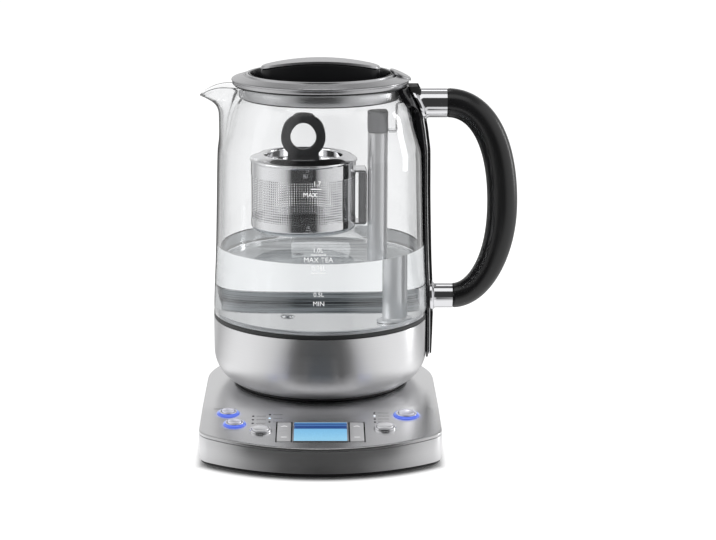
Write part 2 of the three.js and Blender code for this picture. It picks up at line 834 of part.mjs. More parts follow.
const hump = (angle, halfAngle) =>
  Math.abs(angle) < halfAngle ? Math.cos(Math.PI / 2 * angle / halfAngle) ** 2 : 0;

// Directions around the glass in degrees, three times closer together across the spout
function glassAngles() {
  const step = 360 / bigSides;
  const angles = [];
  for (let i = 0; i < bigSides; i += 1) {
    const angle = i * step;
    const fromSpout = Math.abs(angle + step / 2 - 180);
    const parts = fromSpout < spoutHalfAngle + step / 2 ? 3 : 1;
    for (let k = 0; k < parts; k += 1) angles.push(angle + k * step / parts);
  }
  return angles;
}

// Rings of the glass, drawn in by the inset: the round wall, blended near -X into the spout
function glassRings(inset) {
  const reachGain = spoutReach - neckRadius;
  return glassLine().map(([radius, height], row) => {
    const [, , gainShare, dipShare] = glassRowShares[row];
    return glassAngles().map(angle => {
      const r = radius - inset + gainShare * reachGain * hump(angle - 180, spoutHalfAngle);
      const z = height - dipShare * spoutDip * hump(angle - 180, spoutDipHalfAngle);
      const turn = angle * Math.PI / 180;
      return new THREE.Vector3(r * Math.cos(turn), r * Math.sin(turn), z);
    });
  });
}

const raised = (ring, by) => ring.map(p => new THREE.Vector3(p.x, p.y, p.z + by));

function makeGlass() {
  const inside = glassRings(glassWall);
  const bore = [raised(inside[0], -overrun), ...inside.slice(1), raised(inside[inside.length - 1], overrun)];
  return loft(glassRings(0)).subtract(loft(bore));
}

function makeBand() {
  const centreR = jugRadius - bandCornerRadius;
  const centreZ = bandFootHeight + bandCornerRadius;
  const cut = -Math.acos((jugFootRadius - centreR) / bandCornerRadius);
  const outer = arc(centreR, centreZ, bandCornerRadius, cut, 0, 4);
  const inner = arc(centreR, centreZ, bandCornerRadius - bandWall, cut, 0, 4);
  return lathe([
    ...outer, [jugRadius, bandHeight], [jugRadius - bandWall, bandHeight], ...inner.reverse(),
  ], bigSides);
}

function makeSeal() {
  const bottom = bandHeight + seam;
  const legOuter = jugRadius - bandWall - seam;
  const legInner = legOuter - sealLegWall;
  return lathe([
    [legInner, bottom - sealLegDepth],
    [legOuter, bottom - sealLegDepth],
    [legOuter, bottom],
    [jugRadius, bottom],
    [jugRadius, bottom + sealRise],
    [legInner + sealLipWall, bottom + sealRise],
    [legInner + sealLipWall, bottom + sealRise + sealLipRise],
    [legInner, bottom + sealRise + sealLipRise],
  ], bigSides);
}

const floorRadius = jugRadius - bandWall - seam - sealLegWall - seam;

function makeFloor() {
  const under = floorTop - floorThickness;
  const plate = lathe([
    [0, under],
    [floorRadius - floorRimWall, under],
    [floorRadius - floorRimWall, under - floorRimDepth],
    [floorRadius, under - floorRimDepth],
    [floorRadius, floorTop],
    [0, floorTop],
  ], bigSides);
  const screwHole = move(rod(screwRadius + slip, 0, lipHeight, smallSides), postX, 0, 0);
  const probeHole = move(rod(probeRadius + seam, 0, lipHeight, smallSides), probeX, probeY, 0);
  return plate.subtract(screwHole).subtract(probeHole);
}

// Part of a ring under the floor, open towards the lift motor
function makeElement() {
  const sweep = elementSweepShare * 2 * Math.PI;
  const start = Math.PI - sweep / 2;
  const path = new THREE.EllipseCurve(0, 0, elementRadius, elementRadius, start, start + sweep);
  const spine = new THREE.CatmullRomCurve3(path.getPoints(bigSides).map(p => new THREE.Vector3(p.x, p.y, 0)));
  const section = new THREE.Shape().absarc(0, 0, elementTubeRadius, 0, 2 * Math.PI, false);
  const geometry = new THREE.ExtrudeGeometry(section, {
    steps: midSides, extrudePath: spine, curveSegments: tinySides / 2, bevelEnabled: false,
  });
  return move(solidOf(geometry), 0, 0, floorTop - floorThickness - seam - elementTubeRadius);
}

function makeProbe() {
  const top = floorTop + probeRise;
  const flangeTop = floorTop - floorThickness - seam;
  return lathe([
    [0, flangeTop - probeDepth],
    [probeRadius, flangeTop - probeDepth],
    [probeRadius, flangeTop - probeFlangeThickness],
    [probeFlangeRadius, flangeTop - probeFlangeThickness],
    [probeFlangeRadius, flangeTop],
    [probeRadius, flangeTop],
    [probeRadius, top - probeRadius / 2],
    [probeRadius / 2, top],
    [0, top],
  ], smallSides);
}

const coverHole = plugRadius + slip;
const coverTop = jugFootHeight + seam + coverThickness;

function makeBottomCover() {
  const stepRadius = jugFootRadius - bandWall - seam;
  return lathe([
    [jugFootRadius - jugFootWall, 0],
    [jugFootRadius - seam, 0],
    [jugFootRadius, seam],
    [jugFootRadius, jugFootHeight],
    [stepRadius, jugFootHeight],
    [stepRadius, coverTop],
    [coverHole, coverTop],
    [coverHole, coverTop - coverThickness],
    [jugFootRadius - jugFootWall, coverTop - coverThickness],
  ], bigSides);
}

// Round connector held in the cover by its flange, hollow below for the base connector's post
function makePlug() {
  const socket = connectorPostRadius + slip;
  const flangeBottom = coverTop + seam;
  const top = plugRise + plugHeight;
  return lathe([
    [socket, plugRise],
    [socket + plugWall, plugRise],
    [socket + plugWall, plugRise + plugStepHeight],
    [plugRadius, plugRise + plugStepHeight],
    [plugRadius, flangeBottom],
    [plugFlangeRadius, flangeBottom],
    [plugFlangeRadius, flangeBottom + plugFlangeThickness],
    [plugRadius, flangeBottom + plugFlangeThickness],
    [plugRadius, top],
    [0, top],
    [0, top - plugRoof],
    [socket, top - plugRoof],
  ], midSides);
}

function addJugBody(jug) {
  addPart(jug, 'jug_bottom_cover', makeBottomCover(), blackPlastic);
  addPart(jug, 'jug_connector', makePlug(), blackPlastic);
  addPart(jug, 'jug_band', makeBand(), brushedSteel);
  addPart(jug, 'jug_seal', makeSeal(), rubber);
  addPart(jug, 'jug_glass', makeGlass(), clearGlass);
  addPart(jug, 'jug_floor', makeFloor(), polishedSteel);
  addPart(jug, 'heating_element', makeElement(), copper);
  addPart(jug, 'temperature_probe', makeProbe(), polishedSteel).position.set(probeX, probeY, 0);
}

// Outside of the jug from the handle's tail to the lip
function jugLine() {
  return [[jugRadius, tailHeight], [jugRadius, glassFoot], ...glassLine().slice(1)];
}

// Outer face of the spine, from the tail to the lip
function spineLine() {
  const glass = glassLine();
  const rows = spineRowShares.map(([height, extra]) => {
    const z = glassFoot + height * glassHeight;
    return [radiusAt(glass, z) + spineStandOff + extra * (spineNeckStandOff - spineStandOff), z];
  });
  return [[jugRadius + spineStandOff, tailHeight], ...rows];
}

// The solid inside a line that runs upwards
function filled(line, extra) {
  const outside = offsetLine(line, extra);
  const top = outside[outside.length - 1][1];
  return lathe([[0, outside[0][1]], ...outside, [0, top]], bigSides);
}

const slab = (halfWidth, bottom, top) => block(0, gripReach + overrun, -halfWidth, halfWidth, bottom, top);

const shareHeight = share => glassFoot + share * glassHeight;

function makeSpine() {
  const outer = lathe([[0, tailHeight], ...spineLine(), [0, lipHeight]], bigSides);
  const inner = lathe([[0, 0], ...offsetLine(jugLine(), seam), [0, lipHeight + overrun]], bigSides);
  const reach = slab(spineHalfWidth, 0, lipHeight + overrun)
    .add(slab(clampHalfWidth, shareHeight(clampBottomShare), lipHeight + overrun));
  return outer.subtract(inner).intersect(reach);
}

// A strip that lies on the spine between two stand-offs
function strip(inner, outer, halfWidth, bottom, top) {
  const line = spineLine();
  return filled(line, outer).subtract(filled(line, inner)).intersect(slab(halfWidth, bottom, top));
}

const trimInner = seam;
const trimOuter = seam + trimThickness;
const ribInner = trimOuter + seam;
const ribOuter = ribInner + ribThickness;

const makeTrim = () =>
  strip(trimInner, trimOuter, trimHalfWidth, tailHeight + seam, shareHeight(padBottomShare));

function makeRib() {
  const bottom = lowerArmHeight + lowerArmRadius + armCollarFlare + seam;
  const top = upperArmHeight - upperArmRadius - armCollarFlare - seam;
  return strip(ribInner, ribOuter, ribHalfWidth, bottom, top);
}

function makeTail() {
  const top = lowerArmHeight - lowerArmRadius - armCollarFlare - seam;
  const outer = jugRadius + spineStandOff;
  const taper = prismAlongY(shapeOf([
    [0, tailHeight], [outer + ribInner + tailTipThickness, tailHeight + seam],
    [outer + ribOuter, top], [0, top],
  ]), ribHalfWidth);
  return strip(ribInner, ribOuter, ribHalfWidth, tailHeight + seam, top).intersect(taper);
}

function padBlock(extra) {
  const bottom = shareHeight(padBottomShare) + seam - extra;
  return strip(seam - extra, seam + padThickness + extra, padHalfWidth + extra, bottom, lipHeight + extra);
}

function makePad() {
  return padBlock(0);
}

function makeArm(height, radius, reach) {
  const onTrim = filled(spineLine(), ribInner);
  const collar = filled(spineLine(), ribInner + armCollarThickness)
    .intersect(rodAlongX(radius + armCollarFlare, 0, reach, height, midSides));
  return rodAlongX(radius, 0, reach, height, midSides).add(collar).subtract(onTrim);
}

// The grip: circles along two curves that meet at its outermost point
function makeGrip() {
  const at = (x, z) => new THREE.Vector3(x, 0, z);
  const { topOut, topDown, lowDown, lowOut } = gripBendShares;
  const upper = new THREE.CubicBezierCurve3(
    at(upperArmReach + seam, upperArmHeight),
    at(upperArmReach + topOut * (gripReach - upperArmReach), upperArmHeight),
    at(gripReach, gripHeight + topDown * (upperArmHeight - gripHeight)),
    at(gripReach, gripHeight));
  const lower = new THREE.CubicBezierCurve3(
    at(gripReach, gripHeight),
    at(gripReach, gripHeight - lowDown * (gripHeight - lowerArmHeight)),
    at(lowerArmReach + lowOut * (gripReach - lowerArmReach), lowerArmHeight),
    at(lowerArmReach + seam, lowerArmHeight));
  const ends = [[upper, upperArmRadius, gripMiddleRadius], [lower, gripMiddleRadius, lowerArmRadius]];
  const rings = ends.flatMap(([curve, from, to], half) => {
    const steps = gripSteps / 2;
    return Array.from({ length: steps + 1 - half }, (_, i) => {
      const along = (i + half) / steps;
      const ease = along * along * (3 - 2 * along);
      return sectionRing(curve, along, from + (to - from) * ease);
    });
  });
  return loft(rings);
}

// A circle square to a curve in the XZ plane
function sectionRing(curve, along, radius) {
  const centre = curve.getPointAt(along);
  const tangent = curve.getTangentAt(along);
  const side = new THREE.Vector3(0, 1, 0);
  const across = new THREE.Vector3().crossVectors(tangent, side);
  return Array.from({ length: gripSides }, (_, i) => {
    const angle = 2 * Math.PI * i / gripSides;
    return centre.clone()
      .addScaledVector(across, radius * Math.cos(angle))
      .addScaledVector(side, -radius * Math.sin(angle));
  });
}

function addHandle(jug) {
  addPart(jug, 'handle_spine', makeSpine(), blackPlastic);
  addPart(jug, 'handle_trim', makeTrim(), chrome);
  addPart(jug, 'handle_rib', makeRib(), blackPlastic);
  addPart(jug, 'handle_tail', makeTail(), blackPlastic);
  addPart(jug, 'thumb_pad', makePad(), rubber);
  const upperArm = makeArm(upperArmHeight, upperArmRadius, upperArmReach).subtract(padBlock(seam));
  addPart(jug, 'handle_upper_arm', upperArm, chrome);
  addPart(jug, 'handle_lower_arm', makeArm(lowerArmHeight, lowerArmRadius, lowerArmReach), chrome);
  addPart(jug, 'handle_grip', makeGrip(), gripPlastic);
}

// Lift pieces are drawn from the jug's foot up, about the post's axis
const postFoot = floorTop + seam;
const postTop = lipHeight - lidSkirtDepth - capLidRoom - postCapHeight;
const motorTop = floorTop - floorThickness - seam;
const motorNeckRadius = screwRadius + slip + motorNeckWall;

function makePostTube() {
  return lathe([
    [postRadius - postWall, postFoot],
    [postFlangeRadius, postFoot],
    [postFlangeRadius, postFoot + postFlangeThickness],
    [postRadius, postFoot + postFlangeThickness],
    [postRadius, postTop],
    [postRadius - postWall, postTop],
  ], midSides);
}

function makePostCap() {
  const top = postTop + postCapHeight;
  return lathe([
    [0, postTop - postSpigotDepth],
    [postRadius - postWall - seam, postTop - postSpigotDepth],
    [postRadius - postWall - seam, postTop + seam],
    [postCapRadius, postTop + seam],
    [postCapRadius, top - postCapEdge],
    [postCapRadius - postCapEdge, top],
    [0, top],
  ], midSides);
}

function makeMotor() {
  const bottom = motorTop - motorNeckHeight - motorHeight;
  return lathe([
    [0, bottom],
    [motorRadius, bottom],
    [motorRadius, bottom + motorHeight],
    [motorNeckRadius, bottom + motorHeight],
    [motorNeckRadius, motorTop],
    [screwRadius + seam, motorTop],
    [screwRadius + seam, motorTop - motorBoreDepth],
    [0, motorTop - motorBoreDepth],
  ], smallSides);
}

const makeScrew = () =>
  rod(screwRadius, motorTop - motorBoreDepth + seam, postTop - postSpigotDepth - slip, smallSides);

function makeNut() {
  const centre = basketFootHeight + nutCentreAboveBasket;
  const bottom = centre - nutHeight / 2;
  const outer = postRadius - postWall - seam;
  return lathe([
    [screwRadius + seam, bottom], [outer, bottom],
    [outer, bottom + nutHeight], [screwRadius + seam, bottom + nutHeight],
  ], smallSides);
}

// Clear bracket from the cap up to the inside of the shoulder, where the handle grips the glass
function makeBracket() {
  const foot = postTop + seam;
  const top = foot + bracketRise;
  const inside = radiusAt(glassLine(), top) - glassWall - seam;
  const capSide = postX + postCapRadius + seam;
  const outline = shapeOf([
    [capSide, foot], [bracketLegX + bracketWall, foot], [bracketLegX + bracketWall, top - bracketWall],
    [inside + overrun, top - bracketWall], [inside + overrun, top], [bracketLegX, top],
    [bracketLegX, foot + bracketWall], [capSide, foot + bracketWall],
  ]);
  const hollow = lathe([[0, 0], ...offsetLine(glassLine(), -glassWall - seam), [0, lipHeight]], bigSides);
  return prismAlongY(outline, bracketHalfWidth).intersect(hollow);
}

function addLift(jug) {
  const post = addGroup(jug, postX, 0, 0);
  addPart(post, 'post_tube', makePostTube(), brushedSteel);
  addPart(post, 'post_cap', makePostCap(), greyPlastic);
  addPart(post, 'lift_motor', makeMotor(), darkPlastic);
  addPart(post, 'lead_screw', makeScrew(), polishedSteel);
  addPart(post, 'magnet_nut', makeNut(), darkPlastic);
  addPart(jug, 'post_bracket', makeBracket(), clearPlastic);
}

// Basket pieces are drawn about the basket's axis, from its floor up
function makeBasketShell() {
  const outer = basketRadius;
  const inner = basketRadius - basketWall;
  const corner = basketCornerRadius;
  const outside = arc(outer - corner, corner, corner, -Math.PI / 2, 0, 3);
  const inside = arc(outer - corner, corner, corner - basketWall, 0, -Math.PI / 2, 3);
  return lathe([
    [0, 0], ...outside, [outer, basketHeight], [inner, basketHeight], ...inside, [0, basketWall],
  ], midSides);
}

const carrierReach = postX - postRadius - slip - basketX;

function makeCarrier() {
  const bottom = carrierFootHeight;
  const top = carrierFootHeight + carrierHeight;
  const left = basketRadius - carrierWall;
  const magnetLeft = basketRadius + seam + carrierWall;
  const frame = block(left, carrierReach, -carrierHalfWidth, carrierHalfWidth, bottom, top);
  const window = block(magnetLeft, carrierReach - carrierWall, -carrierHalfWidth - overrun,
    carrierHalfWidth + overrun, bottom + carrierWall, top - carrierWall);
  const shell = rod(basketPostGap, 0, basketHeight, midSides);
  return frame.subtract(window).subtract(shell);
}

function makeMagnet() {
  return block(basketRadius + 2 * seam + carrierWall, carrierReach - carrierWall - seam,
    -carrierHalfWidth + seam, carrierHalfWidth - seam,
    carrierFootHeight + carrierWall + seam, carrierFootHeight + carrierHeight - carrierWall - seam);
}

// Lid of the basket from its rim up: a rounded flange that rises to a lip, a sunken dish and a
// skirt inside the basket
function makeBasketLid() {
  const rise = basketLidLipRise;
  const wall = basketLidWall;
  const lip = basketLidLipRadius;
  const outer = basketRadius + wall;
  const skirt = basketRadius - basketWall - slip;
  const dish = -basketLidDishDepth;
  return lathe([
    [0, dish],
    [lip - wall, dish],
    [lip - wall, rise - 2 * wall],
    [lip + wall, rise - wall],
    [skirt - wall, wall],
    [skirt - wall, -basketLidSkirtDepth],
    [skirt, -basketLidSkirtDepth],
    [skirt, 0],
    [outer, 0],
    [outer, wall],
    [outer - wall, 2 * wall],
    [lip + 3 * wall, rise - wall / 2],
    [lip, rise],
    [lip - 2 * wall, rise - wall],
    [lip - 2 * wall, dish + wall],
    [0, dish + wall],
  ], midSides);
}

// Flat ring on a straight neck, drawn in X and Z from the dish up
function makeRingHandle() {
  const foot = basketLidWall - basketLidDishDepth + seam;
  const meet = ringCentreRise - Math.sqrt(ringOuterRadius ** 2 - ringNeckHalfWidth ** 2);
  const start = Math.atan2(meet - ringCentreRise, ringNeckHalfWidth);
  const outline = new THREE.Shape();
  outline.moveTo(-ringNeckHalfWidth, foot);
  outline.lineTo(ringNeckHalfWidth, foot);
  outline.absarc(0, ringCentreRise, ringOuterRadius, start, Math.PI - start, false);
  const hole = new THREE.Path().absarc(0, ringCentreRise, ringInnerRadius, 0, 2 * Math.PI, true);
  outline.holes.push(hole);
  return prismAlongY(outline, ringHalfThickness, tinySides);
}

function addBasket(jug) {
  const basket = addGroup(jug, basketX, 0, basketFootHeight);
  addPart(basket, 'basket_shell', makeBasketShell(), polishedSteel);
  addPart(basket, 'basket_carrier', makeCarrier(), polishedSteel);
  addPart(basket, 'carrier_magnet', makeMagnet(), darkPlastic);
  const lid = addGroup(basket, 0, 0, basketHeight + seam);
  addPart(lid, 'basket_lid', makeBasketLid(), polishedSteel);
  addPart(lid, 'basket_lid_ring', makeRingHandle(), darkPlastic);
}

// Lid pieces are drawn from the glass lip up
const rimBottom = seam + lidSealThickness + seam;
const rimTop = rimBottom + lidRimThickness;
const rimRadius = neckRadius + lidOverhang;
const skirtRadius = neckRadius - glassWall - lidSkirtGap;
const dishFloor = rimTop - dishDepth;
const rimInnerTop = rimTop + lidRimRise;

// Height of the rim's top face, which rises from its outer edge to its inner edge
const rimShoulder = rimRadius - lidRimEdge;
const rimSlope = (lidRimRise + lidRimEdge / 4) / (rimShoulder - lidRimInnerRadius);
const rimTopAt = radius => rimInnerTop - (radius - lidRimInnerRadius) * rimSlope;

function makeLidRim() {
  return lathe([
    [lidRimInnerRadius, rimInnerTop - lidRimWall],
    [skirtRadius - lidSkirtWall, rimBottom],
    [rimRadius - lidRimEdge / 2, rimBottom],
    [rimRadius, rimBottom + lidRimEdge / 2],
    [rimRadius, rimTop - lidRimEdge],
    [rimShoulder, rimTopAt(rimShoulder)],
    [lidRimInnerRadius, rimInnerTop],
  ], bigSides);
}

function makeLidSeal() {
  const inner = skirtRadius + seam;
  return lathe([
    [inner, seam], [inner + lidSealWidth, seam],
    [inner + lidSealWidth, seam + lidSealThickness], [inner, seam + lidSealThickness],
  ], bigSides);
}

function makeLidSkirt() {
  const top = seam + lidSealThickness;
  return lathe([
    [0, -lidSkirtDepth],
    [skirtRadius, -lidSkirtDepth],
    [skirtRadius, top],
    [skirtRadius - lidSkirtWall, top],
    [skirtRadius - lidSkirtWall, lidSkirtWall - lidSkirtDepth],
    [0, lidSkirtWall - lidSkirtDepth],
  ], bigSides);
}

function makeLidDish() {
  const outer = lidRimInnerRadius - seam;
  const underside = dishFloor - dishFloorThickness;
  return lathe([
    [0, underside],
    [dishLegRadius, underside],
    [dishLegRadius, lidSkirtWall - lidSkirtDepth + seam],
    [dishLegRadius + dishLegWall, lidSkirtWall - lidSkirtDepth + seam],
    [dishLegRadius + dishLegWall, underside],
    [outer, underside],
    [outer, rimInnerTop],
    [outer - dishWall / 2, rimInnerTop],
    [outer - dishWall, dishFloor],
    [0, dishFloor],
  ], bigSides);
}

// Plan of the grip bar: two long arcs that meet in small round ends
function barOutline(extra) {
  const length = gripBarHalfLength + extra;
  const width = gripBarHalfWidth + extra;
  const end = gripBarEndRadius + extra;
  const endX = length - end;
  const bow = (endX * endX - end * end + width * width) / (2 * (width - end));
  const drop = bow - width;
  const turn = Math.atan2(endX, drop);
  const up = Math.PI / 2;
  const outline = new THREE.Shape();
  outline.absarc(0, drop, bow, -up - turn, -up + turn, false);
  outline.absarc(endX, 0, end, -up + turn, up - turn, false);
  outline.absarc(0, -drop, bow, up - turn, up + turn, false);
  outline.absarc(-endX, 0, end, up + turn, 3 * up - turn, false);
  return outline;
}

// What lies under the arched top of the grip bar, sunk by the depth
function underArch(depth) {
  const rise = gripBarCentreRise - gripBarEndRise;
  const radius = (gripBarHalfLength ** 2 + rise ** 2) / (2 * rise);
  const centreZ = rimTop + gripBarCentreRise - radius;
  const turn = Math.asin((gripBarHalfLength + overrun) / radius);
  const outline = new THREE.Shape();
  outline.moveTo(-gripBarHalfLength - overrun, 0);
  outline.lineTo(gripBarHalfLength + overrun, 0);
  outline.absarc(0, centreZ, radius - depth, Math.PI / 2 - turn, Math.PI / 2 + turn, false);
  return prismAlongY(outline, gripBarHalfWidth + overrun, 2 * archSteps);
}

function makeGripBar() {
  return prism(barOutline(0), dishFloor + seam, rimTop + gripBarCentreRise, archSteps)
    .intersect(underArch(gripPlateThickness + seam));
}

function makeGripPlate() {
  return prism(barOutline(seam), dishFloor, rimTop + gripBarCentreRise + overrun, archSteps)
    .intersect(underArch(0))
    .subtract(underArch(gripPlateThickness));
}

// Oval thumb tab that lies along the rim's slope on the handle side
function makeLidTab() {
  const oval = (inset, rise) => Array.from({ length: midSides }, (_, i) => {
    const angle = 2 * Math.PI * i / midSides;
    const x = tabCentreX + (tabHalfLength - inset) * Math.cos(angle);
    return new THREE.Vector3(x, (tabHalfWidth - inset) * Math.sin(angle), rimTopAt(x) + seam + rise);
  });
  return loft([oval(0, 0), oval(0, tabThickness - tabEdge), oval(tabEdge, tabThickness)]);
}

function addLid(jug) {
  const lid = addGroup(jug, 0, 0, lipHeight);
  addPart(lid, 'lid_rim', makeLidRim(), brushedSteel);
  addPart(lid, 'lid_seal', makeLidSeal(), rubber);
  addPart(lid, 'lid_skirt', makeLidSkirt(), chrome);
  addPart(lid, 'lid_dish', makeLidDish(), blackPlastic);
  addPart(lid, 'lid_grip_bar', makeGripBar(), blackPlastic);
  addPart(lid, 'lid_grip_plate', makeGripPlate(), greyMetal);
  addPart(lid, 'lid_tab', makeLidTab(), greyMetal);
}

const group = new THREE.Group();
addBase(group);
addPanel(group);
const jug = addGroup(group, 0, 0, jugSeat);
addJugBody(jug);
addHandle(jug);
addLift(jug);
addBasket(jug);
addLid(jug);

export default group;
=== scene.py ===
"""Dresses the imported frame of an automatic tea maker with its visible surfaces, finishes and stage.

Shapes are worked out in millimetres in the frame of the CAD model: the origin is on the underside
of the base tray on the jug's axis, +Z is up, -Y is the front with the control panel and +X is the
side of the handle. They become metres when they are put into meshes.
"""
import math

import bmesh
import bpy
import numpy as np
from bpy.props import FloatProperty, FloatVectorProperty, PointerProperty
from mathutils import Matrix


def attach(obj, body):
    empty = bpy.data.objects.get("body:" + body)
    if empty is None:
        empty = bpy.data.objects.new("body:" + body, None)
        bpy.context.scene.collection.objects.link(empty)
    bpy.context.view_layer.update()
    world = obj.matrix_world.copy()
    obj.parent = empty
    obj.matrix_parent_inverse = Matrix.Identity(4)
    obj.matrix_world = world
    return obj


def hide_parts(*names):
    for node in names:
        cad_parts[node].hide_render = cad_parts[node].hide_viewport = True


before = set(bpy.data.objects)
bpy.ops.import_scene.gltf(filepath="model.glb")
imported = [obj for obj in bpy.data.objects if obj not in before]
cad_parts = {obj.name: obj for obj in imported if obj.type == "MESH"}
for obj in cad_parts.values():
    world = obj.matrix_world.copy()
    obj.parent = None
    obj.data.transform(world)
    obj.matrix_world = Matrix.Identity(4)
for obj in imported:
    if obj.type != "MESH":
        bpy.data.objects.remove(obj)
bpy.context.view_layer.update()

bl_info = {
    "name": "Tea Maker",
    "version": (1, 0, 0),
    "blender": (4, 5, 0),
    "location": "View3D > Sidebar > Tea Maker",
    "description": "Surfaces, finishes and stage of an automatic tea maker with a glass jug",
    "category": "Object",
}

MM = 0.001
TURN = 2 * math.pi
CREASE = 32.0

# Heights and places of the CAD model that many pieces share, in millimetres
SEAT = 24.5
JUG = 24.8
BASE_HALF = 80.0
BASE_FRONT = 152.0
BASE_BOW = 125.0
BASE_CORNER = 16.0
BEND_Y = -75.0
SLOPE = 4.5 / 77.0
TILT = math.atan(SLOPE)
SEAM = 0.3
GLASS_FOOT = JUG + 50.15
GLASS_HEIGHT = 159.0
LIP = GLASS_FOOT + GLASS_HEIGHT
NECK = 57.5
JUG_RADIUS = 75.0
SPOUT_REACH = 83.2
FLOOR_TOP = JUG + 44.5
DISPLAY_Y = -46.3
POST_X = 39.8
BASKET_X = -11.9
BASKET_FOOT = JUG + 109.0
RIM_BOTTOM = LIP + 1.4
RIM_TOP = RIM_BOTTOM + 2.8
RIM_INNER = RIM_TOP + 4.4


# Surfaces ------------------------------------------------------------------------------------


def vectors(*parts):
    """Coordinate arrays, broadcast against each other, as one array of points."""
    return np.stack(np.broadcast_arrays(*parts), axis=-1).astype(float)


def smooth_step(t):
    """Zero below 0, one above 1, and 3t^2 - 2t^3 between."""
    t = np.clip(t, 0.0, 1.0)
    return t * t * (3 - 2 * t)


def circle(count):
    """Directions evenly round a circle, without the last one, which repeats the first."""
    return np.linspace(0, TURN, count, endpoint=False)


def arc(x, y, radius, start, end, count):
    """Points [x, y] along an arc, without its last one."""
    a = np.linspace(start, end, count, endpoint=False)
    return vectors(x + radius * np.cos(a), y + radius * np.sin(a))


def through(knots, values, at):
    """Cubic curve through the knots that keeps their rises and falls: the slope at a knot is the
    harmonic mean of the slopes on its two sides, or zero where these differ in sign."""
    knots, values, at = (np.asarray(a, float) for a in (knots, values, at))
    gap = np.diff(knots)
    rise = np.diff(values) / gap
    left, right = rise[:-1], rise[1:]
    same = left * right > 0
    inner = np.where(same, 2 * left * right / np.where(same, left + right, 1), 0)
    slope = np.concatenate([rise[:1], inner, rise[-1:]])
    k = np.clip(np.searchsorted(knots, at) - 1, 0, len(gap) - 1)
    h = gap[k]
    t = np.clip((at - knots[k]) / h, 0, 1)
    return ((2 * t**3 - 3 * t**2 + 1) * values[k] + (t**3 - 2 * t**2 + t) * h * slope[k]
            + (3 * t**2 - 2 * t**3) * values[k + 1] + (t**3 - t**2) * h * slope[k + 1])


def rounded(corners, radius, steps=6, closed=True):
    """Outline whose corners are quadratic curves that leave and meet the straight sides a radius
    away from the corner, or just under half a side away where the side is short."""
    p = np.asarray(corners, float)
    cut = np.broadcast_to(np.asarray(radius, float), len(p)).copy()
    if not closed:
        cut[[0, -1]] = 0
    back, ahead = np.roll(p, 1, 0) - p, np.roll(p, -1, 0) - p
    back_length = np.maximum(np.linalg.norm(back, axis=1), 1e-9)
    ahead_length = np.maximum(np.linalg.norm(ahead, axis=1), 1e-9)
    cut = np.minimum(cut, 0.49 * np.minimum(back_length, ahead_length))
    start = p + back * (cut / back_length)[:, None]
    end = p + ahead * (cut / ahead_length)[:, None]
    u = np.linspace(0, 1, steps)[:, None, None]
    curve = (1 - u) ** 2 * start + 2 * u * (1 - u) * p + u**2 * end
    return curve.transpose(1, 0, 2).reshape(-1, 2)


class Surface:
    """Grids of points in millimetres that become one mesh."""

    def __init__(self):
        self.points = []
        self.faces = []
        self.count = 0

    def grid(self, points, wrap_rows=False, wrap_columns=False, caps=False):
        """Squares between the rows and columns of a grid, or of many grids of one size at once.
        A wrap joins the last row or column to the first, and caps close the first and last row."""
        stack = points.reshape((-1,) + points.shape[-3:])
        copies, rows, cols = stack.shape[:3]
        index = np.arange(copies * rows * cols).reshape(copies, rows, cols) + self.count
        net = np.concatenate([index, index[:, :1]], axis=1) if wrap_rows else index
        net = np.concatenate([net, net[:, :, :1]], axis=2) if wrap_columns else net
        squares = np.stack([net[:, :-1, :-1], net[:, 1:, :-1], net[:, 1:, 1:], net[:, :-1, 1:]],
                           axis=-1)
        self.faces += squares.reshape(-1, 4).tolist()
        if caps:
            self.faces += index[:, 0, ::-1].tolist() + index[:, -1].tolist()
        self.points.append(stack.reshape(-1, 3))
        self.count += copies * rows * cols
        return self

    def add(self, other):
        """Takes in all that another surface holds."""
        self.faces += [[i + self.count for i in face] for face in other.faces]
        self.points += other.points
        self.count += other.count
        return self

    def moved(self, x=0.0, y=0.0, z=0.0):
        """Shifts everything collected so far."""
        self.points = [p + np.array([x, y, z]) for p in self.points]
        return self

    def onto_panel(self):
        """Takes points drawn on the panel, with Z square to it, to where it slopes to the front."""
        cos, sin = math.cos(TILT), math.sin(TILT)
        self.points = [vectors(p[:, 0], BEND_Y + p[:, 1] * cos - p[:, 2] * sin,
                               SEAT + p[:, 1] * sin + p[:, 2] * cos) for p in self.points]
        return self


def revolve(profile, segments=160, closed=True):
    """Points [radius, height] turned about the Z axis: x = r cos a, y = r sin a, z = h."""
    a = circle(segments)[:, None]
    r, z = np.asarray(profile, float).T
    return Surface().grid(vectors(r * np.cos(a), r * np.sin(a), z), wrap_rows=True,
                          wrap_columns=closed)


def loft(rings, caps=True):
    """Closed rings, each a row of points, joined in order, with the first and the last closed."""
    return Surface().grid(rings, wrap_columns=True, caps=caps)


def base_outline(inset):
    """Plan of the base drawn in by the inset: half a circle behind, straight sides, round front
    corners and a bowed front, each a run of arc points with the same count at any inset."""
    side, bow, corner = BASE_HALF - inset, BASE_BOW - inset, BASE_CORNER - inset
    bow_y = BASE_BOW - BASE_FRONT
    corner_x = side - corner
    corner_y = bow_y - math.sqrt((bow - corner) ** 2 - corner_x**2)
    turn = math.atan2(corner_x, bow_y - corner_y)
    down = 1.5 * math.pi
    edge = np.linspace(0, 1, 24, endpoint=False)
    return np.concatenate([
        arc(0, 0, side, 0, math.pi, 96),
        vectors(-side, edge * corner_y),
        arc(-corner_x, corner_y, corner, math.pi, down - turn, 20),
        arc(0, bow_y, bow, down - turn, down + turn, 72),
        arc(corner_x, corner_y, corner, down + turn, TURN, 20),
        vectors(side, (1 - edge) * corner_y),
    ])


def plate_height(y):
    """Height of the top plate: level behind the bend and sloping evenly in front of it."""
    soft = 1.5
    return SEAT - SLOPE * soft * np.logaddexp(0, (BEND_Y - y) / soft)


